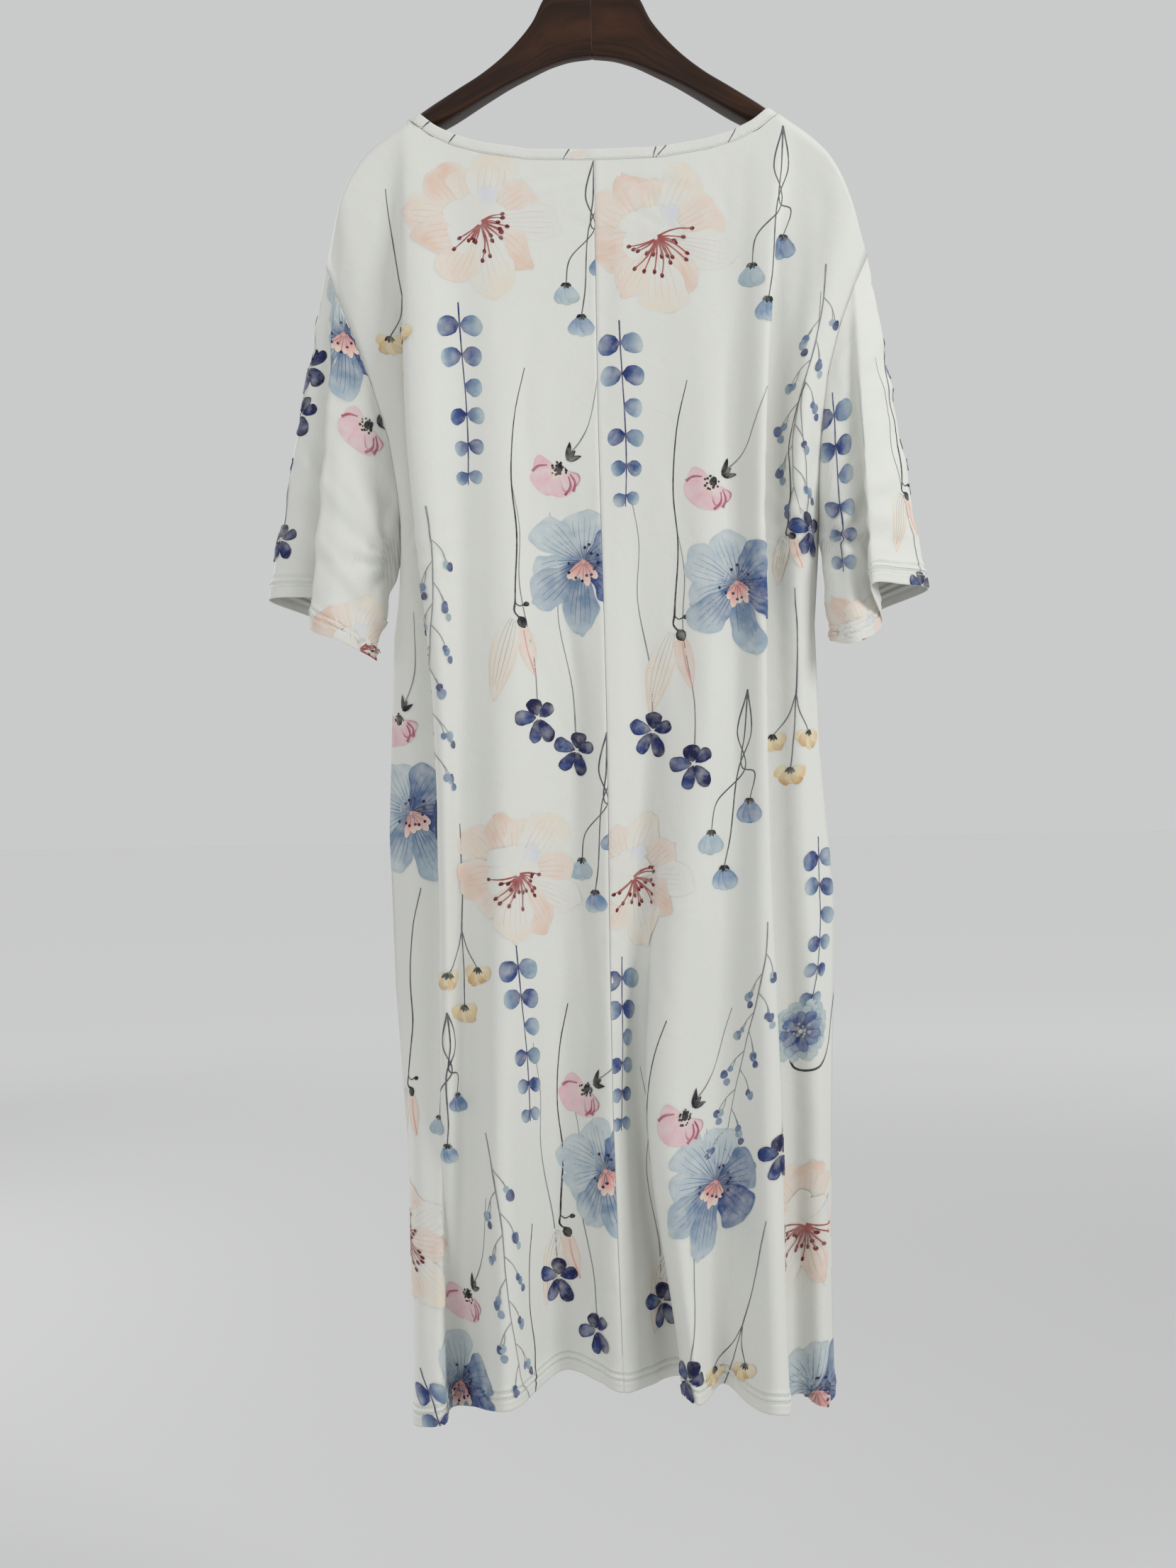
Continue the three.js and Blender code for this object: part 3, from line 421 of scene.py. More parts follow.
class Cloth:
    """A sheet as a grid of points, with flat coordinates: u across, v up. In millimetres."""

    def __init__(self, name, grid, closed=False, u0=0, v_from_z=True):
        self.name, self.grid, self.closed, self.hangs = name, grid, closed, v_from_z
        self.normals = grid_normals(grid, closed)
        self.v = grid[..., 2] if v_from_z else self.lengths_up()
        self.resample(u0)

    def lengths_up(self):
        down = run_along(self.grid, axis=1)
        return down[:, -1:] - down

    def bulges(self):
        """How far each point stands over, or lies from, the middle of its neighbours."""
        g = self.grid
        round_it = (np.roll(g, 1, 0) + np.roll(g, -1, 0)) / 2 - g
        down_it = (np.roll(g, 1, 1) + np.roll(g, -1, 1)) / 2 - g
        if not self.closed:
            round_it[0] = round_it[-1] = 0
        down_it[:, 0] = down_it[:, -1] = 0
        step = np.linalg.norm(g - np.roll(g, 1, 1), axis=-1)
        step[:, 0] = step[:, 1]
        reach = np.clip((1.3 / step) ** 2, 0.4, 1.5)
        outward = lambda way: np.sum(way * self.normals, axis=-1)
        out = -outward(round_it), -outward(down_it) * reach / 0.4
        twist = np.roll(g - np.roll(g, -1, 0), -1, 1) - (g - np.roll(g, -1, 0))
        twist[-1] = twist[:, -1] = 0
        over = np.maximum(out[0], 0) + np.maximum(out[1], 0) + 0.8 * np.abs(outward(twist))
        near_it = np.abs(out[0]) + np.abs(out[1])
        for part in (over, near_it):
            wide = np.maximum(np.maximum(np.roll(part, 1, 0), np.roll(part, -1, 0)), part)
            part[:] = np.maximum(np.maximum(np.roll(wide, 1, 1), np.roll(wide, -1, 1)), wide)
        return np.stack([np.minimum(over, MOST_OVER), np.minimum(near_it, MOST_BENT)], axis=-1)

    def resample(self, u0):
        """Reads the grid at even values of v, and measures u along each of them from column u0."""
        low, fine = self.v.min(), self.v[:, -1].max() + HEM_ZONE
        self.levels = np.concatenate([np.arange(low, fine, 1.0), np.arange(fine, self.v.max() + 2, 2.0)])
        shape = (len(self.grid), len(self.levels))
        sources = (self.grid, self.normals, self.bulges())
        self.at, self.out, self.bulge = (np.zeros(shape + (part.shape[2],)) for part in sources)
        for c in range(shape[0]):
            for part, target in zip(sources, (self.at, self.out, self.bulge)):
                for k in range(part.shape[2]):
                    target[c, :, k] = np.interp(self.levels, self.v[c, ::-1], part[c, ::-1, k])
        if self.closed:
            self.at, self.out, self.bulge = (
                np.concatenate([part, part[:1]]) for part in (self.at, self.out, self.bulge))
        self.u = run_along(self.at[..., :2 if self.hangs else 3])
        self.u -= self.u[u0]
        for _ in range(12):
            self.u[:, 1:-1] = (self.u[:, :-2] + 2 * self.u[:, 1:-1] + self.u[:, 2:]) / 4
        self.low, self.high = self.v[:, -1], self.v[:, 0]
        if self.closed:
            self.low, self.high = np.append(self.low, self.low[0]), np.append(self.high, self.high[0])

    def read(self, u, v, what):
        """Reads a table of columns and levels at flat places."""
        row = np.interp(v, self.levels, np.arange(len(self.levels)))
        base = np.minimum(np.floor(row).astype(int), len(self.levels) - 2)
        part = (row - base)[:, None]
        out = np.zeros((len(u), what.shape[2]))
        for level in np.unique(base):
            these = base == level
            for way, weight in ((0, 1 - part[these]), (1, part[these])):
                line = self.u[:, level + way]
                values = [np.interp(u[these], line, what[:, level + way, k]) for k in range(what.shape[2])]
                out[these] += weight * np.stack(values, axis=-1)
        return out

    def place(self, u, v, layers, lift=DECAL_LIFT):
        """Points over the cloth at flat places, kept inside its edges, and which ones were outside."""
        ends = np.stack([self.low, self.high], axis=-1)
        limits = self.read(u, v, np.repeat(ends[:, None], len(self.levels), axis=1))
        inside_v = np.clip(v, limits[:, 0] + DECAL_MARGIN, limits[:, 1] - DECAL_MARGIN)
        row = np.interp(inside_v, self.levels, np.arange(len(self.levels))).round().astype(int)
        inside_u = np.clip(u, self.u[0, row] + DECAL_MARGIN, self.u[-1, row] - DECAL_MARGIN)
        outside = (np.abs(inside_v - v) > 0.01) | (np.abs(inside_u - u) > 0.01)
        normal = self.read(inside_u, inside_v, self.out)
        normal /= np.maximum(np.linalg.norm(normal, axis=1, keepdims=True), 1e-9)
        bulge = self.read(inside_u, inside_v, self.bulge)
        rise = lift + BULGE_LIFT * bulge[:, 0] + layers * (DECAL_STEP + BULGE_STEP * bulge[:, 1])
        return self.read(inside_u, inside_v, self.at) + normal * rise[:, None], normal, outside

    def flat_from_seen(self, x, z, way):
        """u and v of the place that shows at x and z, seen from the back (way -1) or the front (1)."""
        off = np.hypot(self.at[..., 0] - x, self.at[..., 2] - z) - 0.03 * way * self.at[..., 1]
        off += np.where(self.out[..., 1] * way > 0.12, 0, 1000)
        c, level = np.unravel_index(int(np.argmin(off)), off.shape)
        return self.u[c, level], self.levels[level]


def mesh_object(name, points, faces, material, uv=None, colors=None, normals=None):
    """A mesh from points in millimetres."""
    mesh = bpy.data.meshes.new(name)
    mesh.from_pydata((np.asarray(points) * MM).tolist(), [], faces)
    mesh.shade_smooth()
    if uv is not None:
        layer = mesh.uv_layers.new(name="flat")
        corner = np.zeros(len(mesh.loops), np.int32)
        mesh.loops.foreach_get("vertex_index", corner)
        layer.data.foreach_set("uv", (np.asarray(uv)[corner] * MM).astype(np.float32).ravel())
    if colors is not None:
        tint = mesh.color_attributes.new(name="ink", type="FLOAT_COLOR", domain="POINT")
        tint.data.foreach_set("color", np.asarray(colors, np.float32).ravel())
    if normals is not None:
        mesh.normals_split_custom_set_from_vertices(np.asarray(normals).tolist())
    mesh.materials.append(material)
    obj = bpy.data.objects.new(name, mesh)
    bpy.context.scene.collection.objects.link(obj)
    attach(obj, "root")
    return obj


def tube_faces(rings, sides, first=0):
    """Faces between rings of points that follow each other."""
    at = lambda ring, k: first + ring * sides + k % sides
    return [(at(ring, k), at(ring, k + 1), at(ring + 1, k + 1), at(ring + 1, k))
            for ring in range(rings - 1) for k in range(sides)]


def grid_faces(columns, rows, closed):
    faces = []
    for c in range(columns if closed else columns - 1):
        a, b = c * rows, ((c + 1) % columns) * rows
        faces += [(a + r, a + r + 1, b + r + 1, b + r) for r in range(rows - 1)]
    return faces


def wall_object(cloth, thickness=CLOTH):
    """The cloth's outside, its inside and the edges between them."""
    grid, n = cloth.grid, cloth.normals
    columns, rows = grid.shape[:2]
    inner = grid - n * thickness
    points = np.concatenate([grid.reshape(-1, 3), inner.reshape(-1, 3)])
    start = columns * rows
    faces = grid_faces(columns, rows, cloth.closed)
    faces += [(a + start, d + start, c + start, b + start) for a, b, c, d in faces]
    for c in range(columns if cloth.closed else columns - 1):
        a, b = c * rows, ((c + 1) % columns) * rows
        faces.append((a, b, b + start, a + start))
        a, b = a + rows - 1, b + rows - 1
        faces.append((b, a, a + start, b + start))
    if not cloth.closed:
        last = (columns - 1) * rows
        for r in range(rows - 1):
            faces.append((r, r + start, r + 1 + start, r + 1))
            faces.append((last + r, last + r + 1, last + r + 1 + start, last + r + start))
    flat_u = np.stack([np.interp(cloth.v[c], cloth.levels, cloth.u[c]) for c in range(columns)])
    uv = np.stack([flat_u, cloth.v], axis=-1).reshape(-1, 2)
    return mesh_object(cloth.name + "_cloth", points, faces, plain_jersey, uv=np.concatenate([uv, uv]))


# The print, drawn flat: u across, v up, in millimetres


def linear(rgb):
    c = np.asarray(rgb, float) / 255
    return np.where(c <= 0.04045, c / 12.92, ((c + 0.055) / 1.055) ** 2.4)


INK = {name: linear(rgb) for name, rgb in {
    "peach": (215, 190, 173), "cream": (218, 207, 189), "blush": (219, 200, 186), "lilac": (198, 201, 214),
    "mist": (214, 213, 206), "stamen": (146, 46, 44), "anther": (104, 26, 28), "denim": (86, 110, 146),
    "pale_blue": (158, 176, 186), "slate": (112, 134, 158), "salmon": (216, 148, 140), "navy": (24, 36, 92),
    "deep": (14, 16, 62), "pink": (214, 174, 182), "rose": (156, 48, 82), "black": (18, 18, 24),
    "grey": (108, 110, 112), "stem": (58, 60, 66), "teal": (142, 164, 171), "royal": (46, 70, 124),
    "ochre": (210, 182, 126), "straw": (217, 204, 170), "gold": (188, 146, 90), "vein": (202, 172, 156),
    "blue_vein": (52, 70, 108), "bright": (102, 132, 168),
}.items()}

ROUND = {"foot": 0.55, "end": 3.6, "tip": 0.5}
WEDGE = {"foot": 0.8, "end": 5.0, "tip": 0.5}
LEAF = {"foot": 0.6, "end": 1.3, "tip": 0.9}
DROP = {"foot": 0.5, "end": 1.8, "tip": 0.75}


class Print:
    """Flat shapes in ink, laid one over the other."""

    def __init__(self, seed):
        self.points, self.faces, self.colors, self.layers = [], [], [], []
        self.count, self.layer = 0, 0
        self.random = np.random.default_rng(seed)

    def about(self, value, spread):
        return value + spread * self.random.uniform(-1, 1)

    def add(self, points, faces, colors):
        points = np.asarray(points, float).reshape(-1, 2)
        self.points.append(points)
        self.colors.append(np.asarray(colors, float).reshape(-1, 4))
        self.layers.append(np.full(len(points), self.layer))
        self.faces += [tuple(i + self.count for i in face) for face in faces]
        self.count += len(points)

    def stroke(self, path, width, ink, alpha=1.0, taper=(1.0, 1.0), step=3.0, colors=None):
        """A thin line along a smooth path, in one ink or in colours given at the path's points."""
        path = np.asarray(path, float)
        length = np.linalg.norm(np.diff(path, axis=0), axis=1).sum()
        count = max(3, int(length / step) + 1)
        line = curve_through(path, np.linspace(0, len(path) - 1, count))
        along = np.gradient(line, axis=0)
        side = np.stack([-along[:, 1], along[:, 0]], axis=-1)
        side /= np.maximum(np.linalg.norm(side, axis=1, keepdims=True), 1e-9)
        t = np.linspace(0, 1, count)
        half = 0.5 * width * (taper[0] + (taper[1] - taper[0]) * t) * (1 + 0.14 * np.sin(9 * t + path[0, 0]))
        points = np.stack([line + side * half[:, None], line - side * half[:, None]], axis=1)
        color = np.tile(np.append(INK[ink], alpha), (2 * count, 1))
        if colors is not None:
            at = np.linspace(0, len(path) - 1, count)
            color = np.stack([np.interp(at, np.arange(len(path)), colors[:, k]) for k in range(4)], axis=-1)
            color = np.repeat(color, 2, axis=0)
        faces = [(2 * i, 2 * i + 1, 2 * i + 3, 2 * i + 2) for i in range(count - 1)]
        self.add(points, faces, color)

    def petal(self, base, angle, length, width, inks, alpha=(0.7, 0.5), bend=0.0, form=ROUND, frill=0.04,
              veins=0, vein_ink="vein", rim=0.3, rim_ink=None, step=2.3):
        """A petal or leaf. angle is in degrees from +u, inks are at its foot, its middle and its tip."""
        count, across = max(6, int(length / step) + 1), max(5, int(width / step) + 1)
        along = np.sin(np.linspace(0, np.pi / 2, count))
        t, w = np.meshgrid(along, np.linspace(-1, 1, across), indexing="ij")
        turn = math.radians(angle)
        turned = lambda x, y: np.stack([base[0] + x * math.cos(turn) - y * math.sin(turn),
                                        base[1] + x * math.sin(turn) + y * math.cos(turn)], axis=-1)
        phase = self.random.uniform(0, 6.28, 4)
        profile = lambda s: s ** form["foot"] * np.maximum(1 - s ** form["end"], 0) ** form["tip"]
        widest = profile(np.linspace(0, 1, 60)).max()
        half = 0.5 * width * profile(t) / widest
        half = half * (1 + frill * np.sin(7 * t + phase[0] + w) + 0.6 * frill * np.sin(17 * t + phase[1]))
        wave = np.sin(2.4 * w + phase[2]) + 0.5 * np.sin(6.3 * w + phase[3])
        tip = 1 + frill * smooth(0.4, 0.8, t) * np.sqrt(1 - t**8) * wave
        points = turned(length * t * tip, half * w + bend * length * t**2)
        seed = int(phase[0] * 100)
        rgb, density = self.wash(t, points, inks, alpha, seed)
        edge = smooth(0.72, 1, np.maximum(np.abs(w), smooth(0.9, 1, t)))
        if rim_ink:
            rgb = rgb + (INK[rim_ink] - rgb) * (edge * smooth(0.2, 0.7, t))[..., None]
        color = np.concatenate([rgb, np.clip(density * (1 + rim * edge), 0, 1)[..., None]], axis=-1)
        faces = [(i * across + k, (i + 1) * across + k, (i + 1) * across + k + 1, i * across + k + 1)
                 for i in range(count - 1) for k in range(across - 1)]
        self.add(points, faces, color)
        self.layer += 0.4
        for k in range(veins):
            spread = ((k + 1) / (veins + 1) * 2 - 1) * 0.86
            at = np.linspace(0.05, self.about(0.88, 0.06) - 0.16 * abs(spread), 9)
            path = turned(length * at, 0.5 * width * profile(at) / widest * spread + bend * length * at**2)
            rgb, density = self.wash(at, path, inks, alpha, seed)
            rgb = rgb + (INK[vein_ink] - rgb) * self.about(0.5, 0.12)
            self.stroke(path, 0.75, vein_ink, taper=(1.3, 0.5),
                        colors=np.concatenate([rgb, np.clip(density * 1.2 + 0.12, 0, 1)[:, None]], axis=-1))
        self.layer -= 0.4

    def wash(self, t, points, inks, alpha, seed):
        """Colour and density of watered ink, from the foot of a petal to its tip."""
        foot, middle, end = (INK[name] for name in inks)
        first, second = smooth(0, 0.5, t)[..., None], smooth(0.45, 1, t)[..., None]
        rgb = foot * (1 - first) + middle * first
        rgb = rgb * (1 - second) + end * second
        cloudy = noise(points[..., 0] / 8, points[..., 1] / 8, seed)
        cloudy = cloudy + 0.6 * noise(points[..., 0] / 3.5, points[..., 1] / 3.5, seed + 1)
        return rgb, (alpha[0] + (alpha[1] - alpha[0]) * t) * (1 + 0.26 * cloudy)

    def dot(self, centre, radius, ink, alpha=1.0, stretch=1.0, angle=0.0, rim=None):
        """A round or oval spot, with its rim in another ink."""
        sides = 14 if radius > 2.5 else 8
        turn = math.radians(angle)
        points, colors = [centre], [np.append(INK[rim or ink] * 0.5 + INK[ink] * 0.5, alpha)]
        for k in range(sides):
            a = 2 * math.pi * k / sides
            x, y = radius * stretch * math.cos(a), radius * math.sin(a)
            wobble = 1 + 0.06 * math.sin(3 * a + centre[0])
            points.append((centre[0] + wobble * (x * math.cos(turn) - y * math.sin(turn)),
                           centre[1] + wobble * (x * math.sin(turn) + y * math.cos(turn))))
            colors.append(np.append(INK[rim or ink] if math.cos(a + 0.8) > 0 else INK[ink], alpha))
        faces = [(0, 1 + k, 1 + (k + 1) % sides) for k in range(sides)]
        self.add(points, faces, colors)


def near(p, angle, distance):
    turn = math.radians(angle)
    return (p[0] + distance * math.cos(turn), p[1] + distance * math.sin(turn))


# Flowers and stems. Each is drawn at a place and sized, and each but two that hang straight is turned.


def peach_blossom(ink, at, turn=0, size=1.0):
    """A broad pale flower with dark-red stamens."""
    pale = ((162, 68, 44, "cream", "blush"), (128, 62, 38, "blush", "peach"), (92, 52, 40, "cream", "blush"),
            (58, 66, 42, "mist", "cream"), (22, 58, 38, "blush", "blush"), (-12, 72, 34, "mist", "mist"),
            (-44, 60, 36, "blush", "peach"), (-82, 66, 42, "mist", "cream"), (-126, 56, 36, "cream", "blush"),
            (198, 60, 40, "blush", "peach"))
    for k, (angle, length, width, middle, end) in enumerate(pale):
        ink.layer = k
        deep = end == "peach"
        ink.petal(at, ink.about(angle, 6) + turn, size * ink.about(length, 4), size * width,
                  ("mist", middle, end), alpha=(0.35, 0.92 if deep else 0.78), frill=0.13,
                  form=WEDGE if k % 3 else {"foot": 0.75, "end": 2.6, "tip": 0.6},
                  veins=5, bend=ink.about(0, 0.14), rim=-0.3)
    for angle, length in ((150, 34), (106, 28), (205, 31), (40, 24)):
        ink.layer += 1
        ink.petal(at, angle + turn, size * length, size * 26, ("mist", "mist", "mist"), alpha=(0.8, 0.6),
                  form=WEDGE, frill=0.12, rim=-0.2)
    ink.layer += 1
    ink.petal(near(at, 62 + turn, 12 * size), 66 + turn, 22 * size, 18 * size, ("mist", "lilac", "lilac"),
              alpha=(0.3, 0.6), frill=0.12, rim=-0.3)
    ink.layer += 1.5
    for k in range(19):
        angle = turn - 152 + 9.4 * k + ink.about(0, 6)
        reach = size * ink.about(24, 11)
        start, end = near(at, angle + 30, 2 * size), near(at, angle, reach)
        middle = near(at, angle + ink.about(6, 6), reach * 0.55)
        ink.stroke([start, middle, end], 1.15 * size, "stamen", 0.9, taper=(1.5, 0.8), step=4)
        ink.dot(end, 1.75 * size, "anther", stretch=1.35, angle=angle)


def blue_blossom(ink, at, turn=0, size=1.0):
    """A blue flower with a salmon middle."""
    for k, (angle, length, width, inks, alpha) in enumerate((
            (98, 46, 37, ("slate", "pale_blue", "pale_blue"), (0.8, 0.5)),
            (148, 52, 36, ("slate", "pale_blue", "pale_blue"), (0.75, 0.55)),
            (196, 47, 33, ("denim", "pale_blue", "pale_blue"), (0.85, 0.6)),
            (34, 43, 40, ("royal", "denim", "slate"), (0.95, 0.72)),
            (-30, 50, 38, ("navy", "royal", "denim"), (0.95, 0.82)),
            (-134, 58, 35, ("royal", "slate", "pale_blue"), (0.92, 0.68)),
            (-86, 64, 32, ("denim", "slate", "pale_blue"), (0.92, 0.8)))):
        ink.layer = k
        ink.petal(at, ink.about(angle, 4) + turn, size * ink.about(length, 2), size * width, inks,
                  alpha=alpha, form=WEDGE, frill=0.11, veins=5, vein_ink="blue_vein",
                  bend=ink.about(0, 0.12), rim=0.2)
    for k in range(5):
        ink.layer = 7.5 + 0.5 * k
        ink.petal(near(at, 90, 2), turn - 124 + 18 * k + ink.about(0, 4), size * ink.about(22, 4), size * 7,
                  ("salmon", "salmon", "blush"), alpha=(0.98, 0.9), form=ROUND, step=2.4)
    ink.layer = 11
    for k in range(12):
        angle = turn - 165 + 24 * k + ink.about(0, 8)
        end = near(at, angle, size * ink.about(14, 4))
        ink.stroke([near(at, angle, 2), near(at, angle + 5, 6 * size), end], 0.6, "deep", 0.7, step=4)
        ink.dot(end, 1.45 * size, "deep")


def anemone(ink, at, turn=0, size=1.0):
    """A small pink flower with a black middle, on a thin stem."""
    stem = 90
    ink.layer = 0
    top = near(at, 48 + turn, 17 * size)
    bend = near(top, 50 + turn, stem * 0.36)
    ink.stroke([top, near(top, 42 + turn, stem * 0.15), bend, near(bend, 72 + turn, stem * 0.6)],
               1.2, "grey", 0.85, taper=(1.3, 0.45))
    for angle, length, width in ((168, 23, 22), (212, 27, 26), (262, 25, 24), (306, 22, 20)):
        ink.layer += 1
        ink.petal(at, angle + turn, size * length, size * width, ("blush", "pink", "pink"),
                  alpha=(0.75, 0.72), form=WEDGE, frill=0.05, rim=0.25,
                  rim_ink="rose" if angle == 306 else None, step=2.4)
    ink.layer = 6
    for start, end in ((152, 178), (332, 296), (318, 276)):
        path = [near(at, start + turn, 11 * size), near(at, (start + end) / 2 + turn, 19 * size),
                near(at, end + turn, 24 * size)]
        ink.stroke(path, 2.6 * size, "rose", 0.85, taper=(0.5, 1.1), step=2)
    for angle, length in ((66, 17), (34, 12), (2, 14)):
        ink.petal(near(at, 42 + turn, 11 * size), angle + turn, length * size, 5 * size, ("black",) * 3,
                  alpha=(1, 0.95), form=LEAF, bend=0.12, step=2)
    ink.dot(near(at, 60 + turn, 1.5), 3.4 * size, "black", 0.97, stretch=1.3, angle=70 + turn)
    for k in range(18):
        ink.dot(near(at, 47 * k + turn, size * ink.about(5, 2.4)), size * ink.about(1.15, 0.35), "black")


def sprig(ink, at, turn=0, size=1.0):
    """A hanging stem with round leaves in pairs, paler towards its tip."""
    length = 178 * size
    lean = math.radians(turn)
    point = lambda s: (at[0] + length * s * math.sin(lean) + 4 * math.sin(3.6 * s) * s,
                       at[1] - length * s * math.cos(lean))
    ink.layer = 1
    ink.stroke([point(s) for s in np.linspace(0, 0.95, 7)], 1.6 * size, "navy", 0.95, taper=(0.8, 0.6))
    tones = (("navy", "royal", "denim"), ("navy", "royal", "slate"), ("royal", "denim", "teal"),
             ("royal", "slate", "teal"), ("navy", "denim", "pale_blue"), ("royal", "slate", "pale_blue"))
    for k in range(6):
        s = 0.115 + 0.155 * k
        big = size * (21 - 1.5 * k)
        for way in ((-1, 1) if k != 2 else (1,)):
            angle = -90 + way * ink.about(84 - 4 * k, 9) + turn
            ink.layer = 0.9 if way < 0 else 2
            dark = tones[k] if way * (-1) ** k < 0 else tones[(k + 3) % 6]
            form = {"foot": 0.42, "end": 3.0, "tip": 0.5}
            ink.petal(point(s), angle, ink.about(big, 1), big * 0.92, dark, alpha=(0.98, 0.78), form=form,
                      frill=0.03, bend=-0.12 * way, rim=0.2, step=2.4)


def berry_spray(ink, at, turn=0, size=1.0):
    """A branching hanging stem with small round berries."""
    lean = math.radians(turn)
    down = lambda s, side=0: (at[0] + s * math.sin(lean) + side + 5 * math.sin(s / 37),
                              at[1] - s * math.cos(lean))
    ink.layer = 0
    ink.stroke([down(s * size) for s in (0, 40, 80, 120, 160, 200, 226)], 1.1, "grey", 0.85, taper=(1.2, 0.5))
    tones = ("royal", "slate", "navy", "teal", "denim", "royal", "slate")
    for k in range(11):
        s = size * (30 + 19 * k)
        way = (-1) ** k
        reach = size * ink.about(15, 5)
        fork, end = down(s + 9 * size, way * reach * 0.5), down(s + 24 * size, way * reach)
        ink.layer = 0
        ink.stroke([down(s), fork, end], 0.8, "grey", 0.8)
        other = (fork[0] + way * 4 * size, fork[1] - ink.about(12, 3) * size)
        ink.stroke([fork, ((fork[0] + other[0]) / 2 + 1, (fork[1] + other[1]) / 2), other], 0.7, "grey", 0.8)
        ink.layer = 1
        ink.dot(end, size * ink.about(4.1, 0.7), tones[k % 7], 0.88, stretch=1.15, angle=80,
                rim=tones[(k + 2) % 7])
        ink.dot(other, size * ink.about(3, 0.5), tones[(k + 3) % 7], 0.9, stretch=1.2, angle=70)
        if k % 3:
            ink.dot(near(end, -65, 8 * size), size * 3.3, tones[(k + 1) % 7], 0.88, stretch=1.1, angle=75)


def hanging_buds(ink, at, turn=0, size=1.0):
    """Crossing thin stems with round blue buds under black cups."""
    for k, (dx, dy, tones) in enumerate((
            (-30, -128, ("pale_blue", "pale_blue", "teal")), (6, -100, ("bright", "denim", "bright")),
            (-15, -160, ("slate", "bright", "pale_blue")))):
        end = (at[0] + size * dx, at[1] + size * dy)
        ink.layer = 0
        ink.stroke([at, (at[0] - 9 * size + 7 * k, at[1] - 38 * size),
                    (at[0] - 3 * k * size, at[1] - 70 * size), (end[0] + 4 * size, end[1] + 26 * size), end],
                   1.15, "stem", 0.92, taper=(1.2, 0.8))
        ink.layer = 1
        for angle in (-118, -90, -62):
            ink.layer += 1
            ink.petal(end, angle + ink.about(0, 5), 20 * size, 13.5 * size, tones, alpha=(0.92, 0.72),
                      form={"foot": 0.4, "end": 4, "tip": 0.5}, step=2.4)
        ink.layer = 5
        for angle in (-146, -104, -66, -34):
            ink.petal((end[0], end[1] + 2.5), angle, 6.5 * size, 3.4 * size, ("black",) * 3, alpha=(1, 0.95),
                      form=LEAF, step=2)


def navy_flower(ink, at, turn=0, size=1.0):
    """A small dark-blue flower hanging on a long thin stem."""
    stem, sway = 215, -16
    ink.layer = 0
    ink.stroke([near(at, 90, 12 * size), (at[0] + 0.1 * sway, at[1] + 0.25 * stem),
                (at[0] + 0.75 * sway, at[1] + 0.55 * stem), (at[0] + 0.6 * sway, at[1] + 0.8 * stem),
                (at[0] + sway, at[1] + stem)], 1.05, "grey", 0.85, taper=(1.2, 0.5))
    for k, (angle, length, width, inks) in enumerate((
            (92, 16, 16, ("deep", "deep", "deep")), (24, 17, 12, ("deep", "navy", "deep")),
            (168, 21, 14, ("deep", "royal", "navy")), (246, 22, 12, ("deep", "navy", "royal")),
            (296, 23, 13, ("deep", "navy", "deep")))):
        ink.layer = 1 + k
        ink.petal(near(at, angle + turn, 1.5 * size), ink.about(angle, 6) + turn, size * length,
                  size * width, inks, alpha=(1, 0.97), form=ROUND, frill=0.05, rim=0.2, rim_ink="deep",
                  step=2.2)
    ink.layer = 7
    for angle in (80, 200, 320):
        ink.dot(near(at, angle, 1.6 * size), 0.8 * size, "mist", 0.9)


def drooping_bud(ink, at, turn=0, size=1.0):
    """A long dark stem that ends in a drooping peach bud and a pale leaf."""
    x, y = at
    ink.layer = 1
    ink.stroke([(x + 13 * size, y), (x + 3, y - 42 * size), (x - 2, y - 100 * size), (x + 1, y - 150 * size),
                (x - 3, y - 200 * size), (x - 4, y - 214 * size)], 1.5, "black", 0.95, taper=(0.5, 1.1))
    fork = (x - 4, y - 213 * size)
    ink.stroke([fork, (fork[0] + 4, fork[1] - 3), (fork[0] + 9, fork[1] - 1)], 1.0, "black", 0.95, step=2)
    ink.dot((fork[0] + 11, fork[1] - 1), 2.3 * size, "black", stretch=1.4, angle=10)
    bud = (x + 1, y - 228 * size)
    ink.stroke([fork, (fork[0] - 1, fork[1] - 8), bud], 1.6, "black", 0.95, step=2)
    ink.layer = 0
    ink.petal((bud[0] - 1, bud[1]), -78 + turn, 52 * size, 17 * size, ("peach", "blush", "blush"),
              alpha=(0.85, 0.6), form=LEAF, rim=0.4, rim_ink="peach", step=2.4)
    ink.petal((x - 5, y - 224 * size), -112 + turn, 80 * size, 24 * size, ("mist", "cream", "blush"),
              alpha=(0.35, 0.65), form=LEAF, veins=4, vein_ink="grey", bend=0.1, rim=0.9, rim_ink="peach")
    ink.layer = 2
    ink.stroke([near(bud, -78, 10 * size), near(bud, -80, 28 * size), near(bud, -77, 50 * size)], 1.8 * size,
               "salmon", 0.9, taper=(0.6, 0.9))
    ink.petal((bud[0] - 2, bud[1] + 3), -62 + turn, 12 * size, 10 * size, ("black",) * 3, alpha=(1, 0.95),
              form=DROP, step=2)


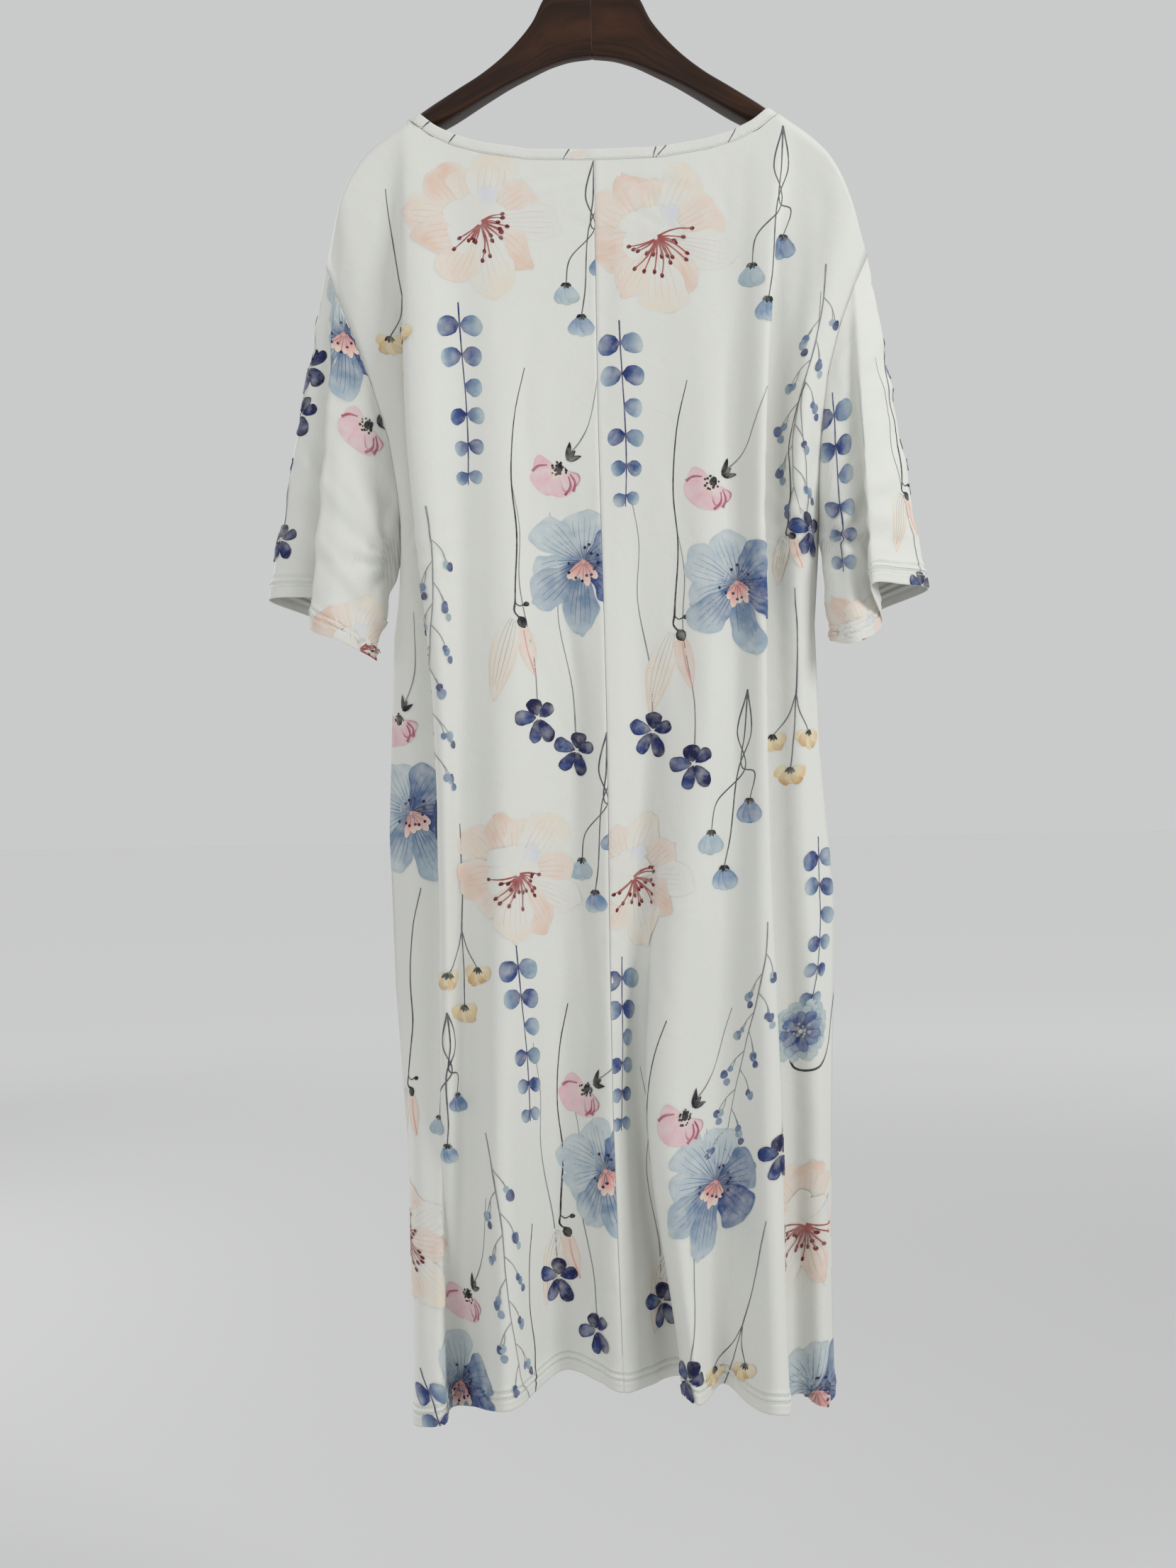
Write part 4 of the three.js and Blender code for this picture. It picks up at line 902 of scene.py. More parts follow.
def ochre_blossoms(ink, at, turn=0, size=1.0):
    """Three small yellow flowers on a forked stem."""
    x, y = at
    fork = (x - 4, y - 96 * size)
    ink.layer = 0
    ink.stroke([at, (x - 1, y - 48 * size), fork], 1.25, "stem", 0.9, taper=(0.6, 1))
    for k, (dx, dy) in enumerate(((-21, -38), (14, -34), (-3, -68))):
        end = (fork[0] + size * dx, fork[1] + size * dy)
        ink.layer = 0
        ink.stroke([fork, (fork[0] + 0.3 * dx * size, fork[1] + 0.5 * dy * size), end], 1.0, "stem", 0.88)
        for i, angle in enumerate((-158, -120, -86, -52, -18)):
            ink.layer = 1 + i
            tone = ("straw", "ochre", "gold") if i % 2 else ("straw", "straw", "ochre")
            ink.petal(end, ink.about(angle, 8), size * ink.about(15, 2), size * 11, tone, alpha=(0.8, 0.72),
                      form=ROUND, frill=0.1, step=2.4)
        ink.layer = 7
        for angle in (-136, -104, -74, -48):
            ink.petal((end[0], end[1] + 2), angle, 7 * size, 2.6 * size, ("black",) * 3, alpha=(0.95, 0.9),
                      form=LEAF, step=2)


def pompom(ink, at, turn=0, size=1.0):
    """A round blue flower head on a curved black stem."""
    ink.layer = 0
    foot = near(at, -112, 21 * size)
    ink.stroke([near(at, -118, 12 * size), foot, near(foot, -62, 16 * size), near(foot, -24, 32 * size),
                near(foot, 8, 44 * size), near(foot, 38, 56 * size), near(foot, 62, 84 * size)],
               1.7, "black", 0.95, taper=(1.5, 0.4))
    for ring, (count, reach, width, inks, alpha) in enumerate((
            (15, 27, 13, ("denim", "teal", "teal"), (0.7, 0.5)),
            (13, 22, 11, ("royal", "denim", "teal"), (0.8, 0.6)),
            (11, 17, 10, ("navy", "royal", "denim"), (0.95, 0.8)))):
        for k in range(count):
            angle = turn + 360 / count * k + ink.about(0, 8)
            ink.layer = 3 * ring + 1.5 * (k % 2)
            ink.petal(near(at, angle, 2 * size), angle, ink.about(reach, 1.5) * size, width * size, inks,
                      alpha=alpha, form=WEDGE, frill=0.09, step=2.6)
    ink.layer = 9
    for k in range(12):
        ink.dot(near(at, 67 * k, ink.about(7, 5) * size), ink.about(1.4, 0.5) * size, "deep", 0.5)


MOTIFS = {
    "peach": peach_blossom, "blue": blue_blossom, "anemone": anemone, "sprig": sprig,
    "berries": berry_spray, "buds": hanging_buds, "navy": navy_flower, "drooping": drooping_bud,
    "ochre": ochre_blossoms, "pompom": pompom,
}

# Materials


def set_sockets(node, values):
    """Sets a node's sockets, or else its own settings. An underscore stands for a space."""
    for key, value in values.items():
        socket = key.replace("_", " ")
        if socket in node.inputs:
            node.inputs[socket].default_value = value
        else:
            setattr(node, key, value)


def shader_tree(name, **values):
    material = bpy.data.materials.new(name)
    material.use_nodes = True
    nodes, links = material.node_tree.nodes, material.node_tree.links
    set_sockets(nodes["Principled BSDF"], values)
    return material, nodes, links, nodes["Principled BSDF"]


def add_node(nodes, kind, **values):
    node = nodes.new("ShaderNode" + kind)
    set_sockets(node, values)
    return node


def mixed(nodes, links, share, *colors):
    """A colour between two, each given as a colour or as a socket."""
    node = add_node(nodes, "Mix", data_type="RGBA")
    links.new(share, node.inputs[0])
    for socket, color in zip(node.inputs[6:8], colors):
        if isinstance(color, bpy.types.NodeSocket):
            links.new(color, socket)
        else:
            socket.default_value = (*color, 1)
    return node.outputs[2]


CLOTH_COLOR = linear((216, 217, 211))


def jersey_material(name, printed=False):
    """Soft knitted cloth, with the print's ink over it where it is printed."""
    material, nodes, links, shader = shader_tree(
        name, Roughness=0.72, Specular_IOR_Level=0.32, Sheen_Weight=0.1, Sheen_Roughness=0.4)
    flat = add_node(nodes, "UVMap", uv_map="flat").outputs["UV"]

    def pattern(kind, output, **values):
        node = add_node(nodes, kind, **values)
        links.new(flat, node.inputs["Vector"])
        return node.outputs[output]

    cloudy = pattern("TexNoise", "Fac", Scale=14.0, Detail=3.0)
    color = mixed(nodes, links, cloudy, CLOTH_COLOR * 0.965, CLOTH_COLOR)
    if printed:
        ink = add_node(nodes, "VertexColor", layer_name="ink")
        wash = pattern("TexNoise", "Fac", Scale=90.0, Detail=4.0, Roughness=0.65)
        spread = add_node(nodes, "MapRange", From_Min=0.3, From_Max=0.7, To_Min=0.82, To_Max=1.12)
        links.new(wash, spread.inputs["Value"])
        cover = add_node(nodes, "Math", operation="MULTIPLY", use_clamp=True)
        links.new(ink.outputs["Alpha"], cover.inputs[0])
        links.new(spread.outputs["Result"], cover.inputs[1])
        color = mixed(nodes, links, cover.outputs[0], color, ink.outputs["Color"])
    links.new(color, shader.inputs["Base Color"])
    wales = pattern("TexWave", "Fac", bands_direction="X", Scale=260.0, Distortion=0.4, Detail=1.0)
    crumple = pattern("TexNoise", "Fac", Scale=55.0, Detail=3.0, Distortion=1.2)
    soft = add_node(nodes, "Bump", Strength=0.3, Distance=0.0012)
    links.new(crumple, soft.inputs["Height"])
    knit = add_node(nodes, "Bump", Strength=0.25, Distance=0.00012)
    links.new(soft.outputs["Normal"], knit.inputs["Normal"])
    links.new(wales, knit.inputs["Height"])
    links.new(knit.outputs["Normal"], shader.inputs["Normal"])
    return material


def walnut_material():
    """Dark varnished wood with its grain along the arm."""
    material, nodes, links, shader = shader_tree(
        "walnut", Roughness=0.42, Specular_IOR_Level=0.22, Coat_Weight=0.07, Coat_Roughness=0.16)
    flat = add_node(nodes, "UVMap", uv_map="flat")
    stretch = add_node(nodes, "Mapping", Scale=(9, 150, 1))
    links.new(flat.outputs["UV"], stretch.inputs["Vector"])
    grain = add_node(nodes, "TexNoise", Scale=1.0, Detail=7.0, Roughness=0.62, Distortion=0.35)
    links.new(stretch.outputs["Vector"], grain.inputs["Vector"])
    ramp = add_node(nodes, "ValToRGB")
    stops = ramp.color_ramp.elements
    stops[0].position, stops[0].color = 0.3, (*linear((30, 15, 7)), 1)
    stops[1].position, stops[1].color = 0.72, (*linear((68, 40, 23)), 1)
    stops.new(0.5).color = (*linear((45, 26, 14)), 1)
    links.new(grain.outputs["Fac"], ramp.inputs["Fac"])
    links.new(ramp.outputs["Color"], shader.inputs["Base Color"])
    pores = add_node(nodes, "Bump", Strength=0.12, Distance=0.0004)
    links.new(grain.outputs["Fac"], pores.inputs["Height"])
    links.new(pores.outputs["Normal"], shader.inputs["Normal"])
    return material


def steel_material():
    """Polished steel that is slightly duller in places."""
    material, nodes, links, shader = shader_tree("steel", Base_Color=(0.62, 0.62, 0.63, 1), Metallic=1)
    marks = add_node(nodes, "TexNoise", Scale=60.0, Detail=3.0)
    links.new(add_node(nodes, "TexCoord").outputs["Object"], marks.inputs["Vector"])
    rough = add_node(nodes, "MapRange", To_Min=0.16, To_Max=0.26)
    links.new(marks.outputs["Fac"], rough.inputs["Value"])
    links.new(rough.outputs["Result"], shader.inputs["Roughness"])
    return material


def thread_material():
    material, nodes, links, shader = shader_tree("thread", Roughness=0.6)
    twist = add_node(nodes, "TexNoise", Scale=900.0)
    links.new(add_node(nodes, "TexCoord").outputs["Object"], twist.inputs["Vector"])
    color = mixed(nodes, links, twist.outputs["Fac"], linear((214, 216, 214)), linear((240, 241, 238)))
    links.new(color, shader.inputs["Base Color"])
    return material


plain_jersey = jersey_material("jersey")
printed_jersey = jersey_material("printed_jersey", printed=True)
walnut = walnut_material()
steel = steel_material()
thread = thread_material()

# The cloth's shells


def even_places(folds, start, end, depth, neckline, hang, size, seam_at=None):
    """Places across a panel at even lengths of its arc, closer beside the centre seam."""
    fine = np.linspace(0, len(folds) + 1, 1601)
    rows = np.array([0.3, 0.5, 0.7, 0.85, 1])
    grid = panel_points(folds, start, end, depth, neckline, hang, fine, rows)
    steps = np.linalg.norm(np.diff(grid[..., :2], axis=0), axis=-1).mean(axis=1)
    arc = np.concatenate([[0], np.cumsum(steps)])
    if seam_at is None:
        count = int(arc[-1] / size)
        return np.interp(np.linspace(0, arc[-1], count + 1), arc, fine)
    middle = np.interp(seam_at, fine, arc)
    near_seam = np.array([0, 0.5, 1.2, 2.2, 3.6, 5.4, 8.0])
    left = np.linspace(0, middle - 8, int((middle - 8) / size) + 1)[:-1]
    right = np.linspace(arc[-1], middle + 8, int((arc[-1] - middle - 8) / size) + 1)[:-1]
    places = np.concatenate([left, middle - near_seam[::-1], (middle + near_seam)[1:], right[::-1]])
    return np.interp(places, arc, fine)


def hem_band(up):
    """How far the turned-up hem stands out, with a dip along each of its two rows of stitches."""
    band = 0.7 * smooth(16.6, 15, up) - 0.4 * bell(up, 1)
    lower, upper = HEM_STITCHES
    rows = 0.75 * bell(up - 13.2, 1.5) - 0.95 * bell(up - upper, 0.95) - 0.95 * bell(up - lower, 0.95)
    return band + rows + 0.7 * bell(up - 18.6, 1.8) + 0.4 * bell(up - 7.5, 1.6)


# Where the hem rides up between the folds: x, width, height
HEM_LIFTS = [(-42, 26, 11), (-100, 20, 2), (10, 20, -4), (60, 16, 3), (99, 13, 12), (146, 16, 4),
             (172, 12, 5)]
HEM_DROP = 6  # how much lower the whole hem hangs
DEEPEST_CREASE = 4.5


def lift_hem(grid, way):
    """Lifts the hem a little between the folds."""
    x, z = grid[..., 0], grid[..., 2]
    rise = sum(height * bell(x * way - place, width) for place, width, height in HEM_LIFTS) - HEM_DROP
    grid[..., 2] = z + rise[:, -1:] * smooth(-1130, -1345, z)
    return grid


def panel_grid(folds, start, end, depth, neckline, hang, creases, seed, at):
    """A panel's grid of columns with its creases, gathers and hem."""
    grid = panel_points(folds, start, end, depth, neckline, hang, at, panel_rows())
    grid = lift_hem(grid, 1 if folds is BACK_FOLDS else -1)
    normals = grid_normals(grid)
    x, z = grid[..., 0], grid[..., 2]
    out = relief(x, z, creases, seed)
    arc = run_along(grid[..., :2])
    for k, place in enumerate(GATHERS):
        out += gather(x, z, *place, seed + 20 + k)
    from_side = np.minimum(arc, arc[-1:] - arc)
    out = np.maximum(out, -DEEPEST_CREASE) * smooth(0, 14, from_side) * smooth(0, 26, z[:, :1] - z)
    foot = z[:, -1:]
    puckers = 0.26 * noise(arc / 3.4, z / 40, seed + 11) * smooth(26, 15, z - foot)
    out += (hem_band(z - foot) + puckers) * smooth(0, 4, from_side)
    return grid + normals * out[..., None]


SEAM_LINE = 9  # the fold line that the centre seam follows
BACK_PANEL = BACK_FOLDS, SIDE_LEFT, SIDE_RIGHT, BACK, NECK_BACK, -BACK_HANG
FRONT_PANEL = FRONT_FOLDS, SIDE_RIGHT, SIDE_LEFT, FRONT, NECK_FRONT, BACK_HANG
back_at = even_places(*BACK_PANEL, 4.1, seam_at=SEAM_LINE)
back_grid = panel_grid(*BACK_PANEL, BACK_CREASES, 11, back_at)
middle_column = int(np.argmin(np.abs(back_at - SEAM_LINE)))


def seam_pucker(grid, column):
    """The small dip and ripple along the centre seam."""
    arc = run_along(grid[..., :2])
    off = arc - arc[column]
    z = grid[..., 2]
    ripple = 0.22 * noise(z / 9, off / 400, 31) + 0.12 * noise(z / 4.5, off / 400, 32)
    out = -0.5 * bell(off, 1.1) + (0.25 + ripple) * bell(np.abs(off) - 3, 3)
    return grid + grid_normals(grid) * out[..., None]


back_grid = seam_pucker(back_grid, middle_column)
left_grid = back_grid[:middle_column + 1].copy()
right_grid = back_grid[middle_column:].copy()
left_grid[-1, :, 0] -= SEAM
right_grid[0, :, 0] += SEAM
front_grid = panel_grid(*FRONT_PANEL, FRONT_CREASES, 57, even_places(*FRONT_PANEL, 4.3))


def sleeve_grid(side, cuff, seed):
    """A sleeve's grid of columns round the armhole, with diagonal creases towards the underarm."""
    way = 1 if side is SIDE_LEFT else -1
    fine = np.linspace(0, 2 * UNDERARM_AT, 961)
    ends = cuff_point(cuff, fine)
    arc = run_along(ends)
    at = np.interp(np.linspace(0, arc[-1], 97)[:-1], arc, fine)
    if way < 0:
        at = at[::-1]
    at = np.roll(at, -int(np.argmin(np.abs(at - UNDERARM_AT))))
    length = np.linalg.norm(cuff_point(cuff, at) - armhole_point(side, at), axis=1).mean()
    low = HEM_FINE / length
    middle = np.linspace(0.036, 1 - low[-1] - 0.012, 76)
    rows = np.concatenate([[0, 0.006, 0.014, 0.024], middle, (1 - low)[::-1]])
    grid = sleeve_points(side, cuff, at, rows)
    normals = grid_normals(grid, closed=True)
    x, y, z = grid[..., 0], grid[..., 1], grid[..., 2]
    # Along and across the sleeve's diagonal creases
    lean, cross = 0.62 * x * way - 0.78 * z, 0.78 * x * way + 0.62 * z
    out = 1.5 * noise(cross / 17, lean / 75, seed) + 0.8 * noise(cross / 9, lean / 50, seed + 1)
    out += 0.45 * noise(z / 11, (x * way + y) / 46, seed + 2)
    underarm = armhole_point(side, np.array([UNDERARM_AT]))
    off = np.linalg.norm(grid - underarm, axis=-1)
    turn = np.arctan2(z - underarm[0, 2], (x - underarm[0, 0]) * way)
    waves = np.sin(9 * turn + 2 * noise(off / 30, turn, seed + 3))
    out += 2.3 * waves * np.minimum(off / 36, 1) * bell(off, 82)
    seen = smooth(0.15, -0.25, normals[..., 1])  # 1 on the sleeve's back
    for crease in SLEEVE_CREASES_LEFT if way > 0 else SLEEVE_CREASES_RIGHT:
        out -= seen * crease_line(x, z, *crease, seed)
    edge = smooth(0, 0.09, rows)[None]
    hem = (1 - rows)[None] * length
    out = out * edge * smooth(-8, 26, hem)
    out = out + hem_band(hem) + 0.14 * noise(x / 3, y / 3, seed + 5) * smooth(24, 14, hem)
    return grid + normals * out[..., None]


left_sleeve = sleeve_grid(SIDE_LEFT, CUFF_LEFT, 71)
right_sleeve = sleeve_grid(SIDE_RIGHT, CUFF_RIGHT, 83)
cloths = {
    "back_left": Cloth("back_left", left_grid, u0=-1),
    "back_right": Cloth("back_right", right_grid, u0=0),
    "front": Cloth("front", front_grid, u0=0),
    "sleeve_left": Cloth("sleeve_left", left_sleeve, closed=True, u0=48, v_from_z=False),
    "sleeve_right": Cloth("sleeve_right", right_sleeve, closed=True, u0=48, v_from_z=False),
}
for name, cloth in cloths.items():
    wall_object(cloth)
    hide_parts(name)

# Where the print lies: motif, x and z as seen, turn, and size where it isn't 1

BACK_LEFT_PRINT = [
    ("peach", -104, -280, 8), ("ochre", -190, -246, 4), ("sprig", -127, -352, 2, 0.98),
    ("drooping", -78, -412, 0), ("navy", -58, -728, 10), ("navy", -26, -758, -14, 0.95),
    ("anemone", -38, -503, 6), ("blue", -16, -588, -8), ("buds", 12, -178, 0, 0.9),
    ("berries", -152, -538, -2), ("peach", -80, -868, -14, 0.92), ("ochre", -131, -822, -4),
    ("sprig", -80, -930, 3, 0.94), ("drooping", -49, -985, 0, 0.9), ("navy", -50, -1234, -6),
    ("navy", -15, -1280, 18, 0.9), ("anemone", -22, -1064, -10, 0.95), ("blue", -5, -1134, 12, 0.98),
    ("buds", 18, -742, 0, 0.9), ("berries", -112, -1096, 3), ("blue", -176, -812, 20),
    ("anemone", -186, -728, 20, 0.9), ("drooping", -176, -880, 0, 0.8), ("buds", -144, -990, 0, 0.75),
    ("peach", -196, -1192, 30, 0.9), ("anemone", -128, -1244, 4, 0.9), ("blue", -136, -1322, -6),
    ("sprig", -172, -1300, 2, 0.9), ("drooping", -78, -1180, 0, 0.75),
]
BACK_RIGHT_PRINT = [
    ("peach", 54, -296, -6), ("sprig", 20, -370, 1), ("drooping", 68, -426, 0),
    ("navy", 46, -742, -8), ("navy", 82, -772, 12), ("anemone", 102, -520, -4),
    ("blue", 122, -610, 6), ("buds", 172, -196, 0), ("berries", 208, -322, 2),
    ("peach", 24, -874, 10, 0.92), ("sprig", 14, -944, -1, 0.92), ("anemone", 68, -1086, 8),
    ("drooping", 42, -1000, 0, 0.95), ("blue", 92, -1146, -10), ("navy", 44, -1260, 4),
    ("navy", 66, -1312, -20), ("buds", 130, -706, 0), ("ochre", 174, -614, 0),
    ("berries", 142, -914, -3, 0.92), ("ochre", 134, -1176, 6), ("navy", 150, -1118, 14, 0.95),
    ("pompom", 176, -1016, 0), ("sprig", 194, -840, 2, 0.9), ("peach", 176, -1190, -24, 0.95),
    ("blue", 184, -1338, 8), ("navy", 188, -562, 0), ("drooping", 182, -430, 0, 0.6),
]
FRONT_PRINT = [
    (kind, x, z + shift, *rest)
    for shift in (0, -572)
    for kind, x, z, *rest in (
        ("peach", 80, -346, -12), ("buds", -26, -290, 0), ("berries", -118, -330, 2),
        ("sprig", 22, -424, 2), ("drooping", 108, -424, 0), ("anemone", -62, -545, 4),
        ("blue", -30, -650, -10), ("navy", 70, -748, 6), ("ochre", 150, -540, 0),
        ("peach", -100, -774, 14, 0.95), ("pompom", 112, -806, 0), ("navy", -152, -640, -10),
        ("navy", 166, -500, 8))
]
SLEEVE_LEFT_PRINT = [
    ("blue", -229, -376, 10, 0.95), ("navy", -268, -400, 8), ("navy", -282, -446, -10, 0.9),
    ("anemone", -211, -460, 0), ("peach", -222, -668, 30, 0.8), ("navy", -292, -560, 0, 0.85),
]
SLEEVE_LEFT_INNER_PRINT = [
    ("sprig", -216, -400, 0, 0.8), ("buds", -252, -410, 0, 0.8), ("blue", -236, -612, 20, 0.85),
]
SLEEVE_RIGHT_PRINT = [
    ("sprig", 214, -436, -12), ("drooping", 268, -360, 0, 0.75), ("peach", 230, -664, -20, 0.75),
    ("navy", 292, -648, 0, 0.8),
]
SLEEVE_RIGHT_INNER_PRINT = [
    ("berries", 222, -390, 0, 0.85), ("blue", 244, -600, -10, 0.85), ("sprig", 252, -400, 0, 0.8),
]

SMALLEST_FACE = 0.004  # twice the area of the least face that is kept


def decal(cloth, ink):
    """One mesh of everything drawn in ink, laid on a cloth and cut at its edges."""
    flat, colors, layers = (np.concatenate(part) for part in (ink.points, ink.colors, ink.layers))
    points, normal, outside = cloth.place(flat[:, 0], flat[:, 1], layers)
    faces = [face for face in ink.faces if not all(outside[i] for i in face)]
    used = np.unique(np.concatenate([np.asarray(face) for face in faces]))
    new = np.zeros(len(points), int)
    new[used] = np.arange(len(used))
    faces = [tuple(int(new[i]) for i in face) for face in faces]
    front = []
    for face in faces:
        corners = points[used[list(face)]]
        across = np.cross(corners[2] - corners[0], corners[-1] - corners[1])
        facing = np.dot(across, normal[used[face[0]]])
        if abs(facing) > SMALLEST_FACE:
            front.append(face[::-1] if facing < 0 else face)
    obj = mesh_object(cloth.name + "_print", points[used], front, printed_jersey, uv=flat[used],
                      colors=colors[used], normals=normal[used])
    obj.visible_shadow = False  # ink has no thickness
    return obj


def print_on(cloth, seed, *layouts):
    """One mesh of all the motifs on a cloth. Each layout comes with the side that it is seen from."""
    ink = Print(seed)
    for way, layout in layouts:
        for kind, x, z, *turn_and_size in layout:
            MOTIFS[kind](ink, cloth.flat_from_seen(x, z, way), *turn_and_size)
    return decal(cloth, ink)


LAYOUTS = {
    "back_left": [(-1, BACK_LEFT_PRINT)],
    "back_right": [(-1, BACK_RIGHT_PRINT)],
    "front": [(1, FRONT_PRINT)],
    "sleeve_left": [(-1, SLEEVE_LEFT_PRINT), (1, SLEEVE_LEFT_INNER_PRINT)],
    "sleeve_right": [(-1, SLEEVE_RIGHT_PRINT), (1, SLEEVE_RIGHT_INNER_PRINT)],
}
FIRST_SEED = 5
prints = {name: print_on(cloths[name], seed, *layout)
          for seed, (name, layout) in enumerate(LAYOUTS.items(), FIRST_SEED)}

# The neck binding

BINDING_PROUD = 0.75  # how far it stands out from the panels
BINDING_WALL = 1.5  # its thickness, folded
BINDING_ROWS = np.array([10, 9.7, 9, 8, 7, 6, 5, 4, 3, 2.2, 1.4, 0.7, 0.3, 0])


def neck_seam():
    """Points along the panels' neck edges once round, 3 mm apart: along the back, then the front."""
    around = []
    for neckline, way in ((NECK_BACK, 1), (NECK_FRONT, -1)):
        x = np.linspace(-NECK_HALF, NECK_HALF, 231) * way
        line = np.stack([x, top_height(neckline, x)], axis=-1)
        steps = run_along(line)
        at = np.linspace(0, steps[-1], 141)[:-1]
        around.append(np.stack([np.interp(at, steps, line[:, 0]), np.interp(at, steps, line[:, 1]),
                                np.full(len(at), -way)], axis=-1))
    return np.vstack(around)


def binding_grid():
    """The binding's grid of columns round the neck, standing up from the seam or lying over the shoulder."""
    seam = neck_seam()
    line = seam[:, :2].copy()
    for _ in range(3):
        line = 0.5 * line + 0.25 * (np.roll(line, 1, 0) + np.roll(line, -1, 0))
    along = np.roll(line, -1, 0) - np.roll(line, 1, 0)
    along /= np.maximum(np.linalg.norm(along, axis=1, keepdims=True), 1e-9)
    square = np.stack([-along[:, 1], along[:, 0]], axis=-1) * -seam[:, 2:3]
    inward = np.abs(line[:, 0]) - BINDING_HEIGHT
    climb = ridge_height(inward) - ridge_height(line[:, 0])
    over = np.stack([-np.sign(line[:, 0]) * BINDING_HEIGHT, climb], axis=-1)
    over /= np.linalg.norm(over, axis=1, keepdims=True)
    share = np.clip(1 - (ridge_height(line[:, 0]) - line[:, 1]) / SHOULDER_DROP, 0, 1)[:, None]
    across = square * (1 - share) + over * share
    across /= np.linalg.norm(across, axis=1, keepdims=True)
    way = seam[:, 2] * (1 - bell(np.abs(line[:, 0]) - NECK_HALF, 2))  # 0 at the shoulders' corners
    reach = BINDING_ROWS[None, :, None] + BINDING_GAP
    flat = line[:, None] + across[:, None] * reach
    height = np.minimum(flat[..., 1], ridge_height(flat[..., 0]))
    depth = way[:, None] * BACK_HANG * hang_share(flat[..., 0], height)
    grid = np.stack([flat[..., 0], depth, height], axis=-1)
    grid[..., 1] = 0.5 * grid[..., 1] + 0.25 * (np.roll(grid[..., 1], 1, 0) + np.roll(grid[..., 1], -1, 0))
    normals = grid_normals(grid, closed=True)
    rise = BINDING_ROWS[None]
    round_off = 0.5 * (bell(rise - 10, 0.9) + bell(rise, 0.8))
    length = np.arange(len(grid))[:, None] * 2.6
    swell = 0.28 * noise(length / 14, rise / 20, 201) + 0.12 * noise(length / 4, rise / 4, 203)
    groove = 0.4 * bell(rise - 1.6, 0.7)
    return grid + normals * (BINDING_PROUD - round_off - groove + swell)[..., None]


binding = Cloth("neck_binding", binding_grid(), closed=True, v_from_z=False)
wall_object(binding, BINDING_WALL)
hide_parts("neck_binding")

# Ends of stems that fall on the binding: length round from the left shoulder, lean
BINDING_MARKS = [(34, 2), (61, 0.5), (166, 0), (246, -3), (252, 4), (318, 2), (430, 1), (498, -2),
                 (566, 3), (633, 0), (700, -3)]


def binding_print():
    ink = Print(10)
    for u, lean in BINDING_MARKS:
        ink.stroke([(u - lean / 2, 0.4), (u, 5), (u + lean / 2, 9.8)], 1.2, "stem", 0.9,
                   taper=(0.8, 1.1), step=1.2)
    ink.petal((168, 5), 0, 20, 9, ("blush", "blush", "mist"), alpha=(0.6, 0.4), step=2)
    ink.petal((520, 5), 0, 26, 9, ("blush", "peach", "mist"), alpha=(0.6, 0.4), step=2)
    return decal(binding, ink)


prints["neck_binding"] = binding_print()

# Stitches

STITCH = 2.3  # length of one stitch
STITCH_STEP = 3.1  # from one stitch to the next
THREAD = 0.32  # radius of the thread
THREAD_SIDES = 6
THREAD_RINGS = ((0, 0.45), (0.14, 1), (0.86, 1), (1, 0.45))  # share of a stitch's length, of its thickness


def stitch_row(cloth, up, start, end, from_edge):
    """Ends and normals of the stitches along one row, at a height over the cloth's lower edge."""
    at = np.arange(start, end, STITCH_STEP)
    ends = []
    for shift in (-STITCH / 2, STITCH / 2):
        u = at + STITCH_STEP / 2 + shift
        foot = 0
        if from_edge:
            foot = np.interp(u, cloth.foot_line[:, 0], cloth.foot_line[:, 1])
        points, normal, _ = cloth.place(u, up + foot + 0 * u, 0, lift=0.05)
        ends.append(points)
    return ends[0], ends[1], normal


def stitches(cloth, rows, from_edge=True):
    """One mesh of the stitches along a cloth's rows, each a short thread with thinner ends."""
    points, faces = [], []
    angle = np.linspace(0, 2 * np.pi, THREAD_SIDES + 1)[:-1]
    for up, start, end in rows:
        first, last, normal = stitch_row(cloth, up, start, end, from_edge)
        along = last - first
        length = np.linalg.norm(along, axis=1)
        for a, way, n, size in zip(first, along, normal, length):
            if size < 0.6 * STITCH or size > 1.8 * STITCH:
                continue
            way = way / size
            side = np.cross(way, n)
            base = len(points)
            for share, radius in THREAD_RINGS:
                centre = a + way * size * share + n * 0.12 * math.sin(math.pi * share)
                for turn in angle:
                    points.append(centre + THREAD * radius * (math.cos(turn) * n + math.sin(turn) * side))
            faces += tube_faces(len(THREAD_RINGS), THREAD_SIDES, base)
            faces.append(tuple(base + k for k in reversed(range(THREAD_SIDES))))
            faces.append(tuple(range(len(points) - THREAD_SIDES, len(points))))
    obj = mesh_object(cloth.name + "_stitches", points, faces, thread)
    return obj


def hem_rows(cloth):
    """Two rows along a hem, over the full width of the cloth's lower edge."""
    if cloth.hangs:
        u = np.array([np.interp(cloth.v[c, -1], cloth.levels, cloth.u[c]) for c in range(len(cloth.v))])
        cloth.foot_line = np.stack([u, cloth.v[:, -1]], axis=-1)
    else:
        level = int(np.argmin(np.abs(cloth.levels - 13)))
        u = cloth.u[:, level]
        cloth.foot_line = np.array([[u[0], 0], [u[-1], 0]])
    return [(up, u[0] + 1, u[-1] - STITCH_STEP - 1) for up in HEM_STITCHES]


sewing = {name: stitches(cloth, hem_rows(cloth)) for name, cloth in cloths.items()}
binding_row = (1.6, binding.u[0, 0] + 1, binding.u[-1, 0] - 4)
sewing["neck_binding"] = stitches(binding, [binding_row], from_edge=False)

# The hanger

OTHER_GRAIN = 700  # where the left half's grain starts, so that the halves differ


